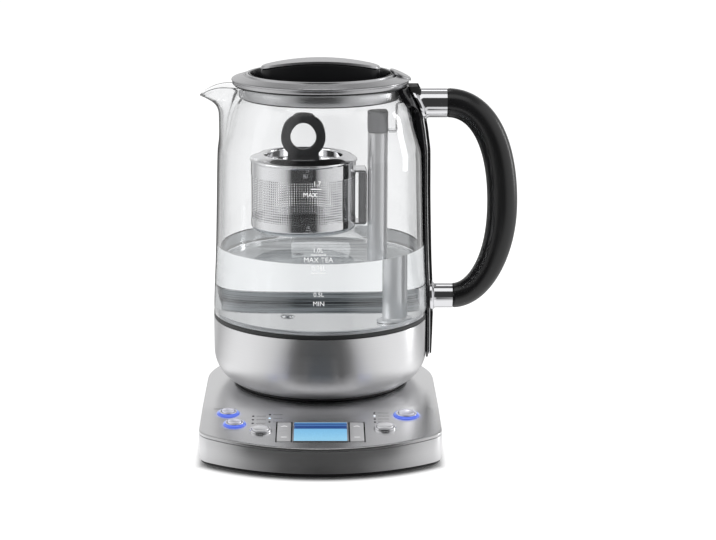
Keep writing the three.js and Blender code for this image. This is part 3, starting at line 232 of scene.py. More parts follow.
def box_outline(half_x, half_y, radius, steps=6):
    """Rectangle with round corners about the origin."""
    corners = [[-half_x, -half_y], [half_x, -half_y], [half_x, half_y], [-half_x, half_y]]
    return rounded(corners, radius, steps)


def slab(outline, bottom, top, edge):
    """A flat piece over an outline that is star-shaped about its middle: straight sides, an edge
    rounded by a quarter circle and a top drawn in to the middle."""
    middle = outline.mean(axis=0)
    reach = np.linalg.norm(outline - middle, axis=1).min()
    a = np.linspace(0, math.pi / 2, 4)
    share = edge / reach
    scale = np.concatenate([[0, 1], 1 - share * (1 - np.cos(a)), [1 - 1.6 * share, 0]])
    height = np.concatenate([[bottom, bottom], top - edge * (1 - np.sin(a)), [top, top]])
    flat = middle + scale[:, None, None] * (outline - middle)
    return vectors(flat[..., 0], flat[..., 1], height[:, None])


def ribbon(line, half_width, half_thickness, corner):
    """A bent strip: a rounded rectangle carried along a line of [X, Z] points, square to it, with
    the width along Y. Points that repeat are left out."""
    line = line[np.concatenate([[True], np.linalg.norm(np.diff(line, axis=0), axis=1) > 1e-6])]
    along = np.gradient(line, axis=0)
    along /= np.linalg.norm(along, axis=1, keepdims=True)
    out = vectors(-along[:, 1], along[:, 0])
    ring = rounded([[-half_width, -half_thickness], [half_width, -half_thickness],
                    [half_width, half_thickness], [-half_width, half_thickness]], corner, 5)
    at = line[:, None] + ring[None, :, 1:] * out[:, None]
    return vectors(at[..., 0], ring[None, :, 0], at[..., 1])


def strokes(lines, width, top, bottom):
    """Straight printed strokes [x0, y0, x1, y1] as thin bars."""
    ends = np.asarray(lines, float)
    a, b = ends[:, :2], ends[:, 2:]
    along = (b - a) / np.linalg.norm(b - a, axis=1, keepdims=True)
    side = vectors(-along[:, 1], along[:, 0]) * width / 2
    ring = np.stack([a - side, b - side, b + side, a + side], axis=1)
    level = np.array([bottom, top])[None, :, None]
    return loft(vectors(ring[:, None, :, 0], ring[:, None, :, 1], level))


# Finishes ------------------------------------------------------------------------------------


def math_node(operation, reflected=False):
    """A method that adds a Math node to a value and the others, or to the others and the value."""
    def method(self, *others):
        inputs = [*others, self] if reflected else [self, *others]
        return self.graph.node("ShaderNodeMath", {"operation": operation}, inputs)
    return method


class Value:
    """An output of a shader graph. Arithmetic on it adds Math nodes."""

    def __init__(self, graph, socket):
        self.graph = graph
        self.socket = socket

    __add__ = __radd__ = math_node("ADD")
    __mul__ = __rmul__ = math_node("MULTIPLY")
    __sub__, __rsub__ = math_node("SUBTRACT"), math_node("SUBTRACT", True)
    __truediv__, __rtruediv__ = math_node("DIVIDE"), math_node("DIVIDE", True)
    __pow__, __rpow__ = math_node("POWER"), math_node("POWER", True)
    __abs__ = math_node("ABSOLUTE")
    least, most = math_node("MINIMUM"), math_node("MAXIMUM")
    part, turn = math_node("FRACT"), math_node("ARCTAN2")

    def __neg__(self):
        return self * -1.0

    def above(self, edge, softness):
        """Zero under the edge and one over it, with a ramp as wide as the softness."""
        ramp = (self - edge) / softness + 0.5
        return ramp.least(1.0).most(0.0)


class Finish:
    """A material, or the world, and the nodes that make its colour, roughness and relief."""

    def __init__(self, name, kind="materials"):
        self.material = getattr(bpy.data, kind).new(name)
        self.material.use_nodes = True
        self.tree = self.material.node_tree
        self.tree.nodes.clear()
        output = "ShaderNodeOutputMaterial" if kind == "materials" else "ShaderNodeOutputWorld"
        self.target = self.tree.nodes.new(output)

    def node(self, kind, settings=None, inputs=None, out=0):
        """Adds a node, sets its settings, then sets or links its inputs, and gives one output."""
        made = self.tree.nodes.new(kind)
        for key, value in (settings or {}).items():
            if key == "stops":
                ramp = made.color_ramp.elements
                while len(ramp) < len(value):
                    ramp.new(0.5)
                for stop, (place, colour) in zip(ramp, value):
                    stop.position = place
                    stop.color = (*colour, 1.0)
            else:
                setattr(made, key, value)
        pairs = inputs.items() if isinstance(inputs, dict) else enumerate(inputs or [])
        for key, value in pairs:
            if isinstance(value, Value):
                self.tree.links.new(value.socket, made.inputs[key])
            else:
                made.inputs[key].default_value = value
        return Value(self, made.outputs[out])

    def place(self, scale=(1.0, 1.0, 1.0), shift=(0.0, 0.0, 0.0)):
        """Object coordinates, shifted by metres and then stretched."""
        point = self.node("ShaderNodeTexCoord", out="Object")
        moved = self.node("ShaderNodeVectorMath", {"operation": "ADD"}, [point, shift])
        return self.node("ShaderNodeVectorMath", {"operation": "MULTIPLY"}, [moved, scale])

    def axes(self, shift=(0.0, 0.0, 0.0)):
        """X, Y and Z in metres about a shifted origin."""
        split = self.node("ShaderNodeSeparateXYZ", None, [self.place(shift=shift)])
        return [Value(self, split.socket.node.outputs[i]) for i in range(3)]

    def noise(self, scale, vector=None, detail=3.0):
        return self.node("ShaderNodeTexNoise", None, {
            "Vector": vector or self.place(), "Scale": scale, "Detail": detail, "Roughness": 0.55})

    def blend(self, factor, first, second):
        """A mix of two colours, each a value or three numbers."""
        a, b = (c if isinstance(c, Value) else (*c, 1.0) for c in (first, second))
        inputs = {"Factor": factor, 6: a, 7: b}
        return self.node("ShaderNodeMix", {"data_type": "RGBA"}, inputs, out=2)

    def outputs(self, kind, *names):
        """One node's outputs of the given names."""
        made = self.node(kind).socket.node
        return [Value(self, made.outputs[name]) for name in names]

    def by_stops(self, factor, stops):
        """A grey level that runs evenly between stops [place, level]."""
        greys = [(place, (level,) * 3) for place, level in stops]
        return self.node("ShaderNodeValToRGB", {"stops": greys}, [factor])

    def relief(self, height, strength, distance=0.0002):
        return self.node("ShaderNodeBump", None, {
            "Height": height, "Strength": strength, "Distance": distance})

    def surface(self, **inputs):
        """The Principled shader with inputs named by words joined with underscores."""
        named = {key.replace("_", " "): value for key, value in inputs.items()}
        for key, value in named.items():
            if key in ("Base Color", "Emission Color") and isinstance(value, tuple):
                named[key] = (*value, 1.0)
        return self.node("ShaderNodeBsdfPrincipled", None, named)

    def done(self, shader):
        self.tree.links.new(shader.socket, self.target.inputs["Surface"])
        return self.material

    def coated(self, **inputs):
        """The material with the Principled shader as its surface."""
        return self.done(self.surface(**inputs))


def shade(colour, factor):
    """A colour made darker or lighter."""
    return tuple(min(1.0, c * factor) for c in colour)


def brushed(name, colour, grain, roughness, relief, anisotropic=0.0, contrast=0.05, metallic=1.0):
    """Brushed metal: noise stretched along the lines of the brush shades colour and roughness and
    cuts fine grooves. The grain is the density of the pattern along X, Y and Z in counts per metre.
    The anisotropic share draws reflections out square to lines that run round the Z axis."""
    made = Finish(name)
    fine = made.noise(1.0, made.place(grain), detail=4.0)
    broad = made.noise(14.0, detail=2.0)
    mixed = fine * 0.75 + broad * 0.25
    base = made.blend(mixed, shade(colour, 1 - contrast), shade(colour, 1 + contrast))
    return made.coated(
        Base_Color=base, Metallic=metallic, Roughness=mixed * 0.16 + (roughness - 0.08),
        Anisotropic=anisotropic, Anisotropic_Rotation=0.25, Normal=made.relief(fine, relief))


def polished(name, colour, roughness=0.05):
    """Polished metal with faint smears in its gloss."""
    made = Finish(name)
    smear = made.noise(60.0, made.place((1.0, 1.0, 0.35)), detail=4.0)
    return made.coated(
        Base_Color=made.blend(smear, shade(colour, 0.97), colour), Metallic=1.0,
        Roughness=smear * 0.05 + roughness, Normal=made.relief(smear, 0.01))


def moulded(name, colour, roughness, relief, spread=0.12, gloss=0.5):
    """Moulded plastic or rubber: a fine erosion grain in the relief and slow changes of gloss."""
    made = Finish(name)
    pores = made.noise(2600.0, detail=2.0)
    slow = made.noise(35.0)
    return made.coated(
        Base_Color=made.blend(slow, shade(colour, 0.85), shade(colour, 1.12)),
        Roughness=slow * spread + (roughness - spread / 2), Specular_IOR_Level=gloss,
        Normal=made.relief(pores, relief, 0.0001))


def clear(name, tint, roughness=0.0, ior=1.47, depth=0.0):
    """Clear glass or plastic that lets light through to what stands behind it without a dark
    shadow. Slow changes of its thickness bend what is seen through it a little, and the depth of
    its own grey, in counts per metre, darkens it where the way through it is long."""
    made = Finish(name)
    waves = made.noise(22.0, made.place((1.0, 1.0, 0.4)), detail=1.0)
    glass = made.surface(Base_Color=tint, Roughness=roughness, IOR=ior, Transmission_Weight=1.0,
                         Normal=made.relief(waves, 0.02, 0.0004))
    if depth:
        inside = made.node("ShaderNodeVolumeAbsorption", None, {
            "Color": (0.0, 0.03, 0.06, 1.0), "Density": depth})
        made.tree.links.new(inside.socket, made.target.inputs["Volume"])
    shadow, diffuse = made.outputs("ShaderNodeLightPath", "Is Shadow Ray", "Is Diffuse Ray")
    soft = shadow.most(diffuse)
    open_air = made.node("ShaderNodeBsdfTransparent", None, {"Color": (*tint, 1.0)})
    return made.done(made.node("ShaderNodeMixShader", None, [soft, glass, open_air]))


# Putting pieces into the scene ---------------------------------------------------------------


def closed_mesh(name, shape, crease):
    """Makes a mesh of a surface: doubled points are merged, faces are turned outwards, and edges
    sharper than the crease angle in degrees stay crisp."""
    mesh = bpy.data.meshes.new(name)
    mesh.from_pydata((np.concatenate(shape.points) * MM).tolist(), [], shape.faces)
    work = bmesh.new()
    work.from_mesh(mesh)
    bmesh.ops.remove_doubles(work, verts=work.verts, dist=1e-6)
    bmesh.ops.dissolve_degenerate(work, edges=work.edges, dist=1e-7)
    bmesh.ops.recalc_face_normals(work, faces=work.faces)
    work.to_mesh(mesh)
    work.free()
    mesh.polygons.foreach_set("use_smooth", np.ones(len(mesh.polygons), bool))
    mesh.set_sharp_from_angle(angle=math.radians(crease))
    return mesh


def cut_out(made, shape):
    """Takes the volume inside a closed surface away from a finished piece."""
    cutter = bpy.data.objects.new("cutter", closed_mesh("cutter", shape, CREASE))
    bpy.context.scene.collection.objects.link(cutter)
    opening = made.modifiers.new("Opening", "BOOLEAN")
    opening.object = cutter
    bpy.context.view_layer.update()
    cut = bpy.data.meshes.new_from_object(made.evaluated_get(bpy.context.evaluated_depsgraph_get()))
    cut.set_sharp_from_angle(angle=math.radians(CREASE))
    made.modifiers.clear()
    whole, made.data = made.data, cut
    cut.name = made.name
    tool = cutter.data
    bpy.data.objects.remove(cutter)
    for mesh in (whole, tool):
        bpy.data.meshes.remove(mesh)


def piece(name, shape, body, finish, hides=(), crease=CREASE, thicken=0.0):
    """Puts a surface into the scene with its finish, a material or the name of one. It then rides
    on its CAD body, or stands free where it has none."""
    mesh = closed_mesh(name, shape, crease)
    mesh.materials.append(Finishes.get(finish) if isinstance(finish, str) else finish)
    made = bpy.data.objects.new(name, mesh)
    bpy.context.scene.collection.objects.link(made)
    if thicken:
        wall = made.modifiers.new("Thickness", "SOLIDIFY")
        wall.thickness = thicken * MM
        wall.offset = 0
    if body:
        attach(made, body)
    if hides:
        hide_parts(*hides)
    return made


def look():
    return bpy.context.scene.tea_maker


class Finishes:
    """Every named finish, made once when it is first asked for."""
    made = {}

    @classmethod
    def get(cls, name):
        if name not in cls.made:
            cls.made[name] = RECIPES[name]()
        return cls.made[name]


# How far the painted glow of a lit button on the top plate falls in front of it and how far it
# reaches past its ring
PAINTED_GLOW_SHIFT = 2.2
PAINTED_GLOW_REACH = 3.0


def plate_finish():
    """Steel of the top plate, brushed along X, with a painted blue glow round the three lit
    buttons: emission on the steel that stands in for the light of their rings.
    """
    made = Finish("top_plate_steel")
    fine = made.noise(1.0, made.place((30, 1500, 900)), detail=4.0)
    broad = made.noise(9.0, detail=2.0)
    x, y, _ = made.axes()
    glow = None
    # Painted light: the glow of each lit ring on the steel, a soft ring of emission
    for name in ("left_rear", "left_front", "start"):
        button = BUTTONS[name]
        bx, by = button["x"] * MM, (BEND_Y + button["y"] - PAINTED_GLOW_SHIFT) * MM
        far = ((x - bx) ** 2.0 + (y - by) ** 2.0) ** 0.5
        painted_glow_halo = (1.0 - (far - button["ring"] * MM) / (PAINTED_GLOW_REACH * MM)).most(0.0)
        painted_glow_halo = painted_glow_halo.least(1.0)
        painted_glow_halo = painted_glow_halo * painted_glow_halo
        glow = painted_glow_halo if glow is None else glow + painted_glow_halo
    steel = tuple(look().steel)
    mixed = fine * 0.8 + broad * 0.2
    base = made.blend(mixed, shade(steel, 0.9), steel)
    light = made.blend(glow.least(1.0), (0.0, 0.0, 0.0), tuple(look().ring_light))
    return made.coated(
        Base_Color=base, Metallic=1.0, Roughness=mixed * 0.1 + 0.2, Emission_Color=light,
        Emission_Strength=look().glow * 0.4, Normal=made.relief(fine, 0.05))


# Front edge of the lit field, measured forward from the bend, and the field's length
DISPLAY_FOOT = 63.6
DISPLAY_DEPTH = 34.6


def display_finish():
    """Backlit panel: a dark strip with one light line at the rear and a bright field that grows
    brighter to the front."""
    made = Finish("display_light")
    _, y, _ = made.axes((0.0, -(BEND_Y - DISPLAY_FOOT) * MM, 0.0))
    depth = y / (DISPLAY_DEPTH * MM)
    strip = depth.above(0.66, 0.03) * (1.0 - depth.above(0.955, 0.02))
    line = depth.above(0.83, 0.02) * (1.0 - depth.above(0.875, 0.02))
    field = made.blend(depth, tuple(look().display_front), tuple(look().display_rear))
    grain = made.noise(900.0, detail=2.0) * 0.25 + 0.86
    shaded = made.node("ShaderNodeVectorMath", {"operation": "SCALE"}, {0: field, "Scale": grain})
    body = made.blend(strip, shaded, (0.012, 0.06, 0.26))
    glossy, = made.outputs("ShaderNodeLightPath", "Is Glossy Ray")
    lit = made.blend(glossy, made.blend(line * 0.55, body, (0.16, 0.42, 0.85)), (0.12, 0.14, 0.16))
    return made.coated(
        Base_Color=(0.01, 0.02, 0.04), Roughness=grain * 0.1, Emission_Color=lit,
        Emission_Strength=0.85, Coat_Weight=0.15)


def lit_ring_finish(name):
    """Light guide round a button: deep blue on the side that faces the user, with a pale painted
    highlight in its light behind the button.
    """
    made = Finish(name + "_ring_light")
    button = BUTTONS[name]
    _, y, _ = made.axes((0.0, -(BEND_Y + button["y"]) * MM, 0.0))
    grain = made.noise(300.0, detail=2.0)
    # Painted highlight: the pale rear of the ring's light stands in for a reflection
    rear = (y / (button["ring"] * MM)).above(-0.1, 0.9)
    deep = made.blend(grain, tuple(look().ring_light), shade(look().ring_light, 0.7))
    colour = made.blend(rear, deep, (0.35, 0.5, 0.9))
    return made.coated(
        Base_Color=(0.1, 0.15, 0.5), Roughness=grain * 0.1 + 0.06, Emission_Color=colour,
        Emission_Strength=look().glow, Coat_Weight=1.0)


def cap_finish(name, low, high):
    """Silver button cap: a faint mottle in its colour and gloss."""
    made = Finish(name)
    mottle = made.noise(420.0)
    return made.coated(
        Base_Color=made.blend(mottle, low, high), Metallic=0.6, Roughness=mottle * 0.08 + 0.08,
        Coat_Weight=0.3, Normal=made.relief(mottle, 0.01))


def floor_steel_finish():
    """Satin floor of the jug: pale, with small bubbles and dark specks. Towards its rear edge a
    painted reflection of the dark seal darkens it in streaky bands that run along it, and painted
    shade greys its front."""
    made = Finish("floor_steel")
    specks = made.node("ShaderNodeTexVoronoi", {"feature": "F1"}, {
        "Vector": made.place(), "Scale": 420.0})
    patch = made.noise(90.0)
    x, y, _ = made.axes()
    # Painted reflection: the dark seal mirrored in the rear middle of the floor, in streaky bands
    painted_reflection_streaks = made.noise(1.0, made.place((9, 150, 1)))
    rear = y.above(0.012, 0.05) * (1.0 - abs(x).above(0.05, 0.035))
    speck = (1.0 - specks.above(0.22, 0.1)) * patch.above(0.46, 0.1)
    bubble = (1.0 - specks.above(0.3, 0.12)) * (1.0 - patch.above(0.46, 0.1))
    # Painted shade: the floor greys towards its front
    front = 1.0 - y.above(-0.02, 0.02)
    satin = made.blend(patch, (0.86, 0.87, 0.88), (0.97, 0.98, 0.99))
    pale = made.blend(front, satin, (0.6, 0.61, 0.63))
    base = made.blend(speck * 0.85, made.blend(bubble, pale, (0.97, 0.98, 1.0)), (0.12, 0.13, 0.14))
    # The painted reflection darkens the rear middle
    dark = made.blend(rear * painted_reflection_streaks.above(0.5, 0.14) * 0.6, base, (0.03, 0.04, 0.05))
    return made.coated(
        Base_Color=dark, Metallic=0.08, Roughness=patch * 0.2 + 0.3,
        Normal=made.relief(specks, 0.25, 0.0004))


def seal_finish():
    """Black rubber of the jug's seal. Its inner lip, seen inside the glass, carries a painted sheen:
    pale streaks along the ring, paler to the left and right and towards its top.
    """
    made = Finish("jug_seal_rubber")
    x, y, z = made.axes()
    lip = 1.0 - ((x * x + y * y) ** 0.5).above(0.0722, 0.0004)
    # Painted sheen: pale streaks on the inner lip, paler to the sides and towards its top
    painted_sheen_streak = made.noise(1.0, made.place((22, 22, 1400))).above(0.5, 0.16)
    pale = painted_sheen_streak * 0.75 + abs(x).above(0.04, 0.05) * 0.3 + z.above(0.0726, 0.0006) * 0.35
    pale = pale.least(1.0)
    grain = made.noise(900.0, detail=2.0)
    rubber = made.blend(grain, (0.012, 0.013, 0.013), (0.02, 0.021, 0.021))
    base = made.blend(lip, rubber, made.blend(pale, (0.05, 0.055, 0.06), (0.62, 0.64, 0.66)))
    return made.coated(
        Base_Color=base, Roughness=grain * 0.12 + 0.34, Normal=made.relief(grain, 0.1, 0.0001))


def element_finish():
    """Copper tube of the heating element, darkened in patches by heat."""
    made = Finish("heater_copper")
    stain = made.noise(60.0, detail=5.0)
    base = made.blend(stain.above(0.52, 0.5), (0.48, 0.17, 0.08), (0.3, 0.2, 0.17))
    return made.coated(
        Base_Color=base, Metallic=1.0, Roughness=stain * 0.3 + 0.22,
        Normal=made.relief(stain, 0.05))


def board_finish():
    """Green circuit board with copper tracks under the lacquer and small dark parts."""
    made = Finish("circuit_board")
    x, _, _ = made.axes()
    stripe = abs((x * 420.0).part() - 0.5).above(0.36, 0.05)
    patch = made.noise(120.0, detail=0.0).above(0.52, 0.03)
    cells = made.node("ShaderNodeTexVoronoi", {"distance": "CHEBYCHEV"}, {
        "Vector": made.place(), "Scale": 90.0})
    chip = 1.0 - cells.above(0.22, 0.02)
    green = made.blend(stripe * patch, (0.012, 0.1, 0.035), (0.03, 0.19, 0.07))
    base = made.blend(chip, green, (0.015, 0.015, 0.017))
    return made.coated(
        Base_Color=base, Roughness=chip * 0.25 + 0.3, Coat_Weight=0.25,
        Normal=made.relief(chip + stripe * 0.1, 0.3, 0.0005))


def mark_finish():
    """White print on the glass, a little uneven in its cover, with a faint painted glow: it emits
    light though it is no lamp.
    """
    made = Finish("white_print")
    cover = made.noise(1500.0, detail=2.0)
    # Painted light: a faint emission makes the print glow
    return made.coated(
        Base_Color=made.blend(cover, (0.72, 0.72, 0.73), (0.93, 0.93, 0.94)),
        Roughness=cover * 0.2 + 0.45, Emission_Color=(0.8, 0.8, 0.8), Emission_Strength=0.35)


RECIPES = {
    "plate": plate_finish,
    "apron": lambda: brushed("apron_steel", tuple(look().steel), (25, 25, 1600), 0.34, 0.05, 0.75),
    "band": lambda: brushed("band_steel", tuple(look().steel), (18, 18, 1500), 0.31, 0.04, 0.85),
    "post": lambda: brushed("post_steel", (0.84, 0.84, 0.85), (900, 900, 30), 0.2, 0.04, 0.0,
                            metallic=0.5),
    "rim": lambda: brushed("rim_steel", (0.46, 0.46, 0.47), (60, 60, 60), 0.24, 0.01, 0.0,
                           contrast=0.02),
    "skirt": lambda: brushed("skirt_steel", (0.62, 0.62, 0.63), (30, 30, 900), 0.36, 0.02, 0.0),
    "polished": lambda: polished("polished_steel_skin", (0.78, 0.78, 0.79)),
    "arm": lambda: polished("arm_chrome", (0.75, 0.75, 0.77), 0.03),
    "chrome": lambda: polished("chrome_skin", (0.86, 0.86, 0.88), 0.03),
    "wire": lambda: polished("wire_steel", (0.92, 0.92, 0.93), 0.03),
    "bright": lambda: polished("basket_steel", (0.93, 0.93, 0.94), 0.02),
    "grey_metal": lambda: brushed("grey_metal_skin", (0.47, 0.47, 0.48), (250, 250, 250), 0.3,
                                  0.03, 0.0),
    "black": lambda: moulded("black_gloss", (0.006, 0.006, 0.007), 0.16, 0.03, spread=0.05,
                             gloss=0.3),
    "satin": lambda: moulded("black_satin", (0.009, 0.009, 0.01), 0.34, 0.06, gloss=0.3),
    "grip": lambda: moulded("grip_satin", (0.006, 0.006, 0.0065), 0.25, 0.012, gloss=0.5),
    "rubber": lambda: moulded("black_rubber", (0.014, 0.014, 0.014), 0.62, 0.2),
    "seal": lambda: moulded("seal_rubber", (0.016, 0.017, 0.017), 0.4, 0.1),
    "jug_seal": seal_finish,
    "grey": lambda: moulded("grey_cap", (0.22, 0.22, 0.23), 0.42, 0.08),
    "dark": lambda: moulded("dark_insert", (0.055, 0.055, 0.058), 0.42, 0.08),
    "magnet": lambda: moulded("magnet_cover", (0.16, 0.16, 0.165), 0.4, 0.08),
    "button": lambda: cap_finish("silver_button", (0.72, 0.72, 0.74), (0.86, 0.86, 0.88)),
    # Painted light: the lit buttons' caps are a blue-tinted copy of the silver cap, for the light of
    # their rings
    "lit_button": lambda: cap_finish("lit_button", (0.74, 0.74, 0.88), (0.9, 0.9, 0.98)),
    "display": display_finish,
    "key": lambda: brushed("key_silver", (0.66, 0.66, 0.67), (40, 1500, 900), 0.3, 0.04, 0.0,
                           metallic=0.5),
    "print": mark_finish,
    "dark_print": lambda: moulded("grey_print", (0.16, 0.16, 0.165), 0.5, 0.05),
    "pin": lambda: moulded("unlit_pin", (0.02, 0.022, 0.028), 0.2, 0.02),
    "blue_pin": lambda: lamp("blue_pin", (0.55, 0.78, 1.0)),
    "white_pin": lambda: lamp("white_pin", (0.95, 0.97, 1.0)),
    "glass": lambda: clear("jug_glass_skin", (0.915, 0.918, 0.922), depth=9.0),
    "clear": lambda: clear("clear_plastic_skin", (0.93, 0.94, 0.945), 0.02, 1.49),
    "water": lambda: clear("water", (0.965, 0.98, 0.985), ior=1.333),
    "floor_steel": floor_steel_finish,
    "copper": element_finish,
    "board": board_finish,
    "brass": lambda: polished("contact_brass", (0.72, 0.55, 0.28), 0.18),
    "screw": lambda: polished("screw_zinc", (0.52, 0.52, 0.53), 0.26),
}


def lamp(name, colour):
    """A lit pin whose lens is brighter in some places than in others."""
    made = Finish(name)
    cloud = made.noise(2500.0, detail=1.0)
    return made.coated(
        Base_Color=(0.4, 0.45, 0.5), Roughness=cloud * 0.1 + 0.15,
        Emission_Color=made.blend(cloud, shade(colour, 0.8), colour), Emission_Strength=1.0)


# Base ----------------------------------------------------------------------------------------

SCREWS = [(66, -62), (-66, -62), (52.09, 43.71), (-52.09, 43.71)]
FEET = {"foot_front_left": (-58, -114), "foot_front_right": (58, -114),
        "foot_rear_left": (-49.84, 36.21), "foot_rear_right": (49.84, 36.21)}
PLATE_MIDDLE = (0.0, -36.0)
PLATE_THICKNESS = 2.0
APRON_DROP = 2.3
GLAND_HEIGHT = 14.0


def base_rings(columns, over_plate=False):
    """The outline of the base at each [inset, height] of a profile. Over the plate, a height
    counts from the plate's sloping top."""
    rings = np.stack([base_outline(inset) for inset, _ in columns])
    z = np.array([height for _, height in columns])[:, None]
    z = z + (plate_height(rings[..., 1]) if over_plate else 0)
    return vectors(rings[..., 0], rings[..., 1], z)


class TEAMAKER_OT_base(bpy.types.Operator):
    """Tray, apron, top plate, feet, screws, gland and round connector of the base"""
    bl_idname = "teamaker.base"
    bl_label = "Make the Base"

    def execute(self, context):
        tray = loft(base_rings([
            (2.8, 0), (2.0, 0.25), (1.2, 1.0), (0.85, 1.9), (0.8, 2.4), (1.0, 2.5), (2.3, 2.5),
            (2.3, 7.3), (2.5, 7.5), (3.7, 7.5), (3.9, 7.3), (3.9, 2.4)]))
        for place in SCREWS:
            boss = revolve([[1.6, 1], [4, 1], [4, 13.6], [3.8, 13.7], [1.6, 13.7]], 28)
            tray.add(boss.moved(*place))
        piece("tray_skin", tray, "base", "satin", ["base_tray"])

        rows = np.stack([base_outline(inset) for inset in (2, 0.45, 0.12, 0, 0, 0.1, 0.35, 2)])
        top = plate_height(rows[..., 1]) - APRON_DROP
        z = np.array([2.8, 2.8, 2.95, 3.3, -0.35, -0.1, 0, 0])[:, None]
        z = np.where(np.arange(len(rows))[:, None] < 4, z, top + z)
        apron = Surface().grid(vectors(rows[..., 0], rows[..., 1], z), wrap_rows=True,
                               wrap_columns=True)
        piece("apron_skin", apron, "base", "apron", ["base_apron"])

        brim = base_rings([(0.6, 0), (0.3, -0.08), (0.1, -0.28), (0, -0.6), (0, -1.7),
                           (0.2, -PLATE_THICKNESS)], over_plate=True)
        scale = np.concatenate([[0.0], np.linspace(0.02, 1, 70)])[:, None, None]
        flat = PLATE_MIDDLE + scale * (base_outline(0.6) - PLATE_MIDDLE)
        face = vectors(flat[..., 0], flat[..., 1], plate_height(flat[..., 1]))
        under = face[::-1] - np.array([0, 0, PLATE_THICKNESS])
        plate = piece("top_plate_skin", loft(np.concatenate([face, brim, under]), caps=False),
                      "base", "plate", ["base_top_plate"])
        cut_out(plate, panel_slab(*PANEL_OPENING, 0, DISPLAY_Y, -4.0, 1.0, 0.62, 0.01).onto_panel())

        for name, place in FEET.items():
            sole = revolve([[0, -1.5], [6.6, -1.5], [7.4, -1.3], [7.85, -0.85], [8, -0.3],
                            [8, 1.2], [0, 1.2]], 56)
            piece(name + "_skin", sole.moved(*place), "base", "rubber", [name])
        for i, place in enumerate(SCREWS):
            head = revolve([[0, -1.1], [1.6, -1.05], [2.6, -0.7], [2.9, 0.1], [0, 0.1]], 32)
            piece(f"base_screw_{i + 1}", head.moved(*place), "base", "screw")

        a = circle(48)[:, None]
        r, y = np.array([
            [3.2, 75.7], [6, 75.7], [6, 77.4], [4.5, 77.4], [4.5, 80.3], [5.8, 80.3], [6, 80.6],
            [5.9, 81.6], [5.2, 82.3], [4.7, 83.5], [4.5, 85.2], [4.3, 85.3], [3.2, 85.3]]).T
        gland = Surface().grid(vectors(r * np.cos(a), y, GLAND_HEIGHT + r * np.sin(a)),
                               wrap_rows=True, wrap_columns=True)
        piece("gland_skin", gland, "base", "rubber", ["cord_gland"])

        plug = revolve([
            [0, 14], [19, 14], [19, 20.2], [26, 20.2], [26, 22.2], [23, 22.2], [23, 24.8],
            [22.7, 25.1], [12.3, 25.1], [12, 24.8], [12, 20.1], [7, 20.1], [7, 32.7], [6.7, 33.3],
            [6.1, 33.5], [0, 33.5]])
        piece("connector_skin", plug, "base", "satin", ["base_connector"])
        contacts = Surface()
        for r in (8.6, 10.6):
            contacts.add(revolve([[r - 0.4, 20.0], [r + 0.4, 20.0], [r + 0.4, 21.6],
                                  [r - 0.4, 21.6]], 96))
        piece("connector_contacts", contacts, "base", "brass")
        return {"FINISHED"}


# Panel ---------------------------------------------------------------------------------------

BUTTONS = {
    "left_rear": {"x": -61.9, "y": -10.6, "cap": 4.4, "ring": 7.7, "lit": True},
    "left_front": {"x": -56.9, "y": -31.2, "cap": 4.7, "ring": 7.7, "lit": True},
    "left_centre": {"x": -39.4, "y": -44.4, "cap": 5.8, "ring": 7.5, "lit": False},
    "right_centre": {"x": 42.5, "y": -39.4, "cap": 5.8, "ring": 7.5, "lit": False},
    "start": {"x": 57.6, "y": -13.9, "cap": 5.6, "ring": 8.9, "lit": True},
}
BUTTON_GAP = 0.5

# Half the width and half the length of the display's opening, well and keys
PANEL_OPENING = (29.35, 18.8)
WELL = (29.9, 19.3)
WINDOW = (17.4, 17.15)
KEY = (4.55, 17.2)
KEY_X = 23.9
KEY_UP, KEY_DOWN = -37.0, -57.0

# X of each column of lights with the Y of each light, and the two that are lit
PIN_COLUMNS = [(-45.0, (-16.4, -23.2, -30.0)), (-33.9, (-13.5, -20.4, -27.3)),
               (36.2, (-10.2, -16.0, -21.8, -27.6))]
LIT_PINS = {(-33.9, -20.4): "blue_pin", (36.2, -16.0): "white_pin"}


class TEAMAKER_OT_buttons(bpy.types.Operator):
    """Five domed buttons, each in its collar, three of them with a ring of blue light"""
    bl_idname = "teamaker.buttons"
    bl_label = "Make the Buttons"

    def execute(self, context):
        for name, button in BUTTONS.items():
            cap, ring, lit = button["cap"], button["ring"], button["lit"]

            def turned(profile):
                """A turned piece that stands square on the panel at the button's place."""
                return revolve(profile, 72).moved(button["x"], button["y"]).onto_panel()

            t = np.linspace(0, 1, 14)
            dome = np.stack([(cap - 0.5) * (1 - t), 2.55 + 0.45 * (1 - (1 - t) ** 2)], axis=1)
            stem = [[0, -7.1], [1.6, -7.1], [1.6, -3.9], [cap + 1.4, -3.9], [cap + 1.4, -2.9],
                    [cap, -2.9], [cap, 1.7], [cap - 0.08, 2.1], [cap - 0.25, 2.4]]
            piece(name + "_cap", turned(np.concatenate([stem, dome])), name + "_push",
                  "lit_button" if lit else "button", [name + "_button"], crease=40)

            bore = cap + BUTTON_GAP
            collar = bore + (1.0 if lit else 0.9)
            rim = [[bore, -2.6], [bore + 1.2, -2.6], [bore + 1.2, 0.3], [collar, 0.3],
                   [collar, 1.2], [collar - 0.15, 1.5], [collar - 0.45, 1.6], [bore + 0.15, 1.55],
                   [bore, 1.3]]
            piece(name + "_collar", turned(rim), "base", "chrome", [name + "_button_ring"])

            if lit:
                s = np.linspace(0, 1, 9)
                slope = np.stack([collar + (ring - collar) * s, 0.3 + (1 - s**2) ** 0.8], axis=1)
                guide = np.concatenate([slope, [[ring, 0.02], [collar, 0.02]]])
                piece(name + "_light", turned(guide), "base", lit_ring_finish(name))
            else:
                line = [[ring - 0.55, 0.02], [ring, 0.02], [ring - 0.05, 0.45],
                        [ring - 0.28, 0.6], [ring - 0.5, 0.45]]
                piece(name + "_outer_ring", turned(line), "base", "chrome")
        return {"FINISHED"}


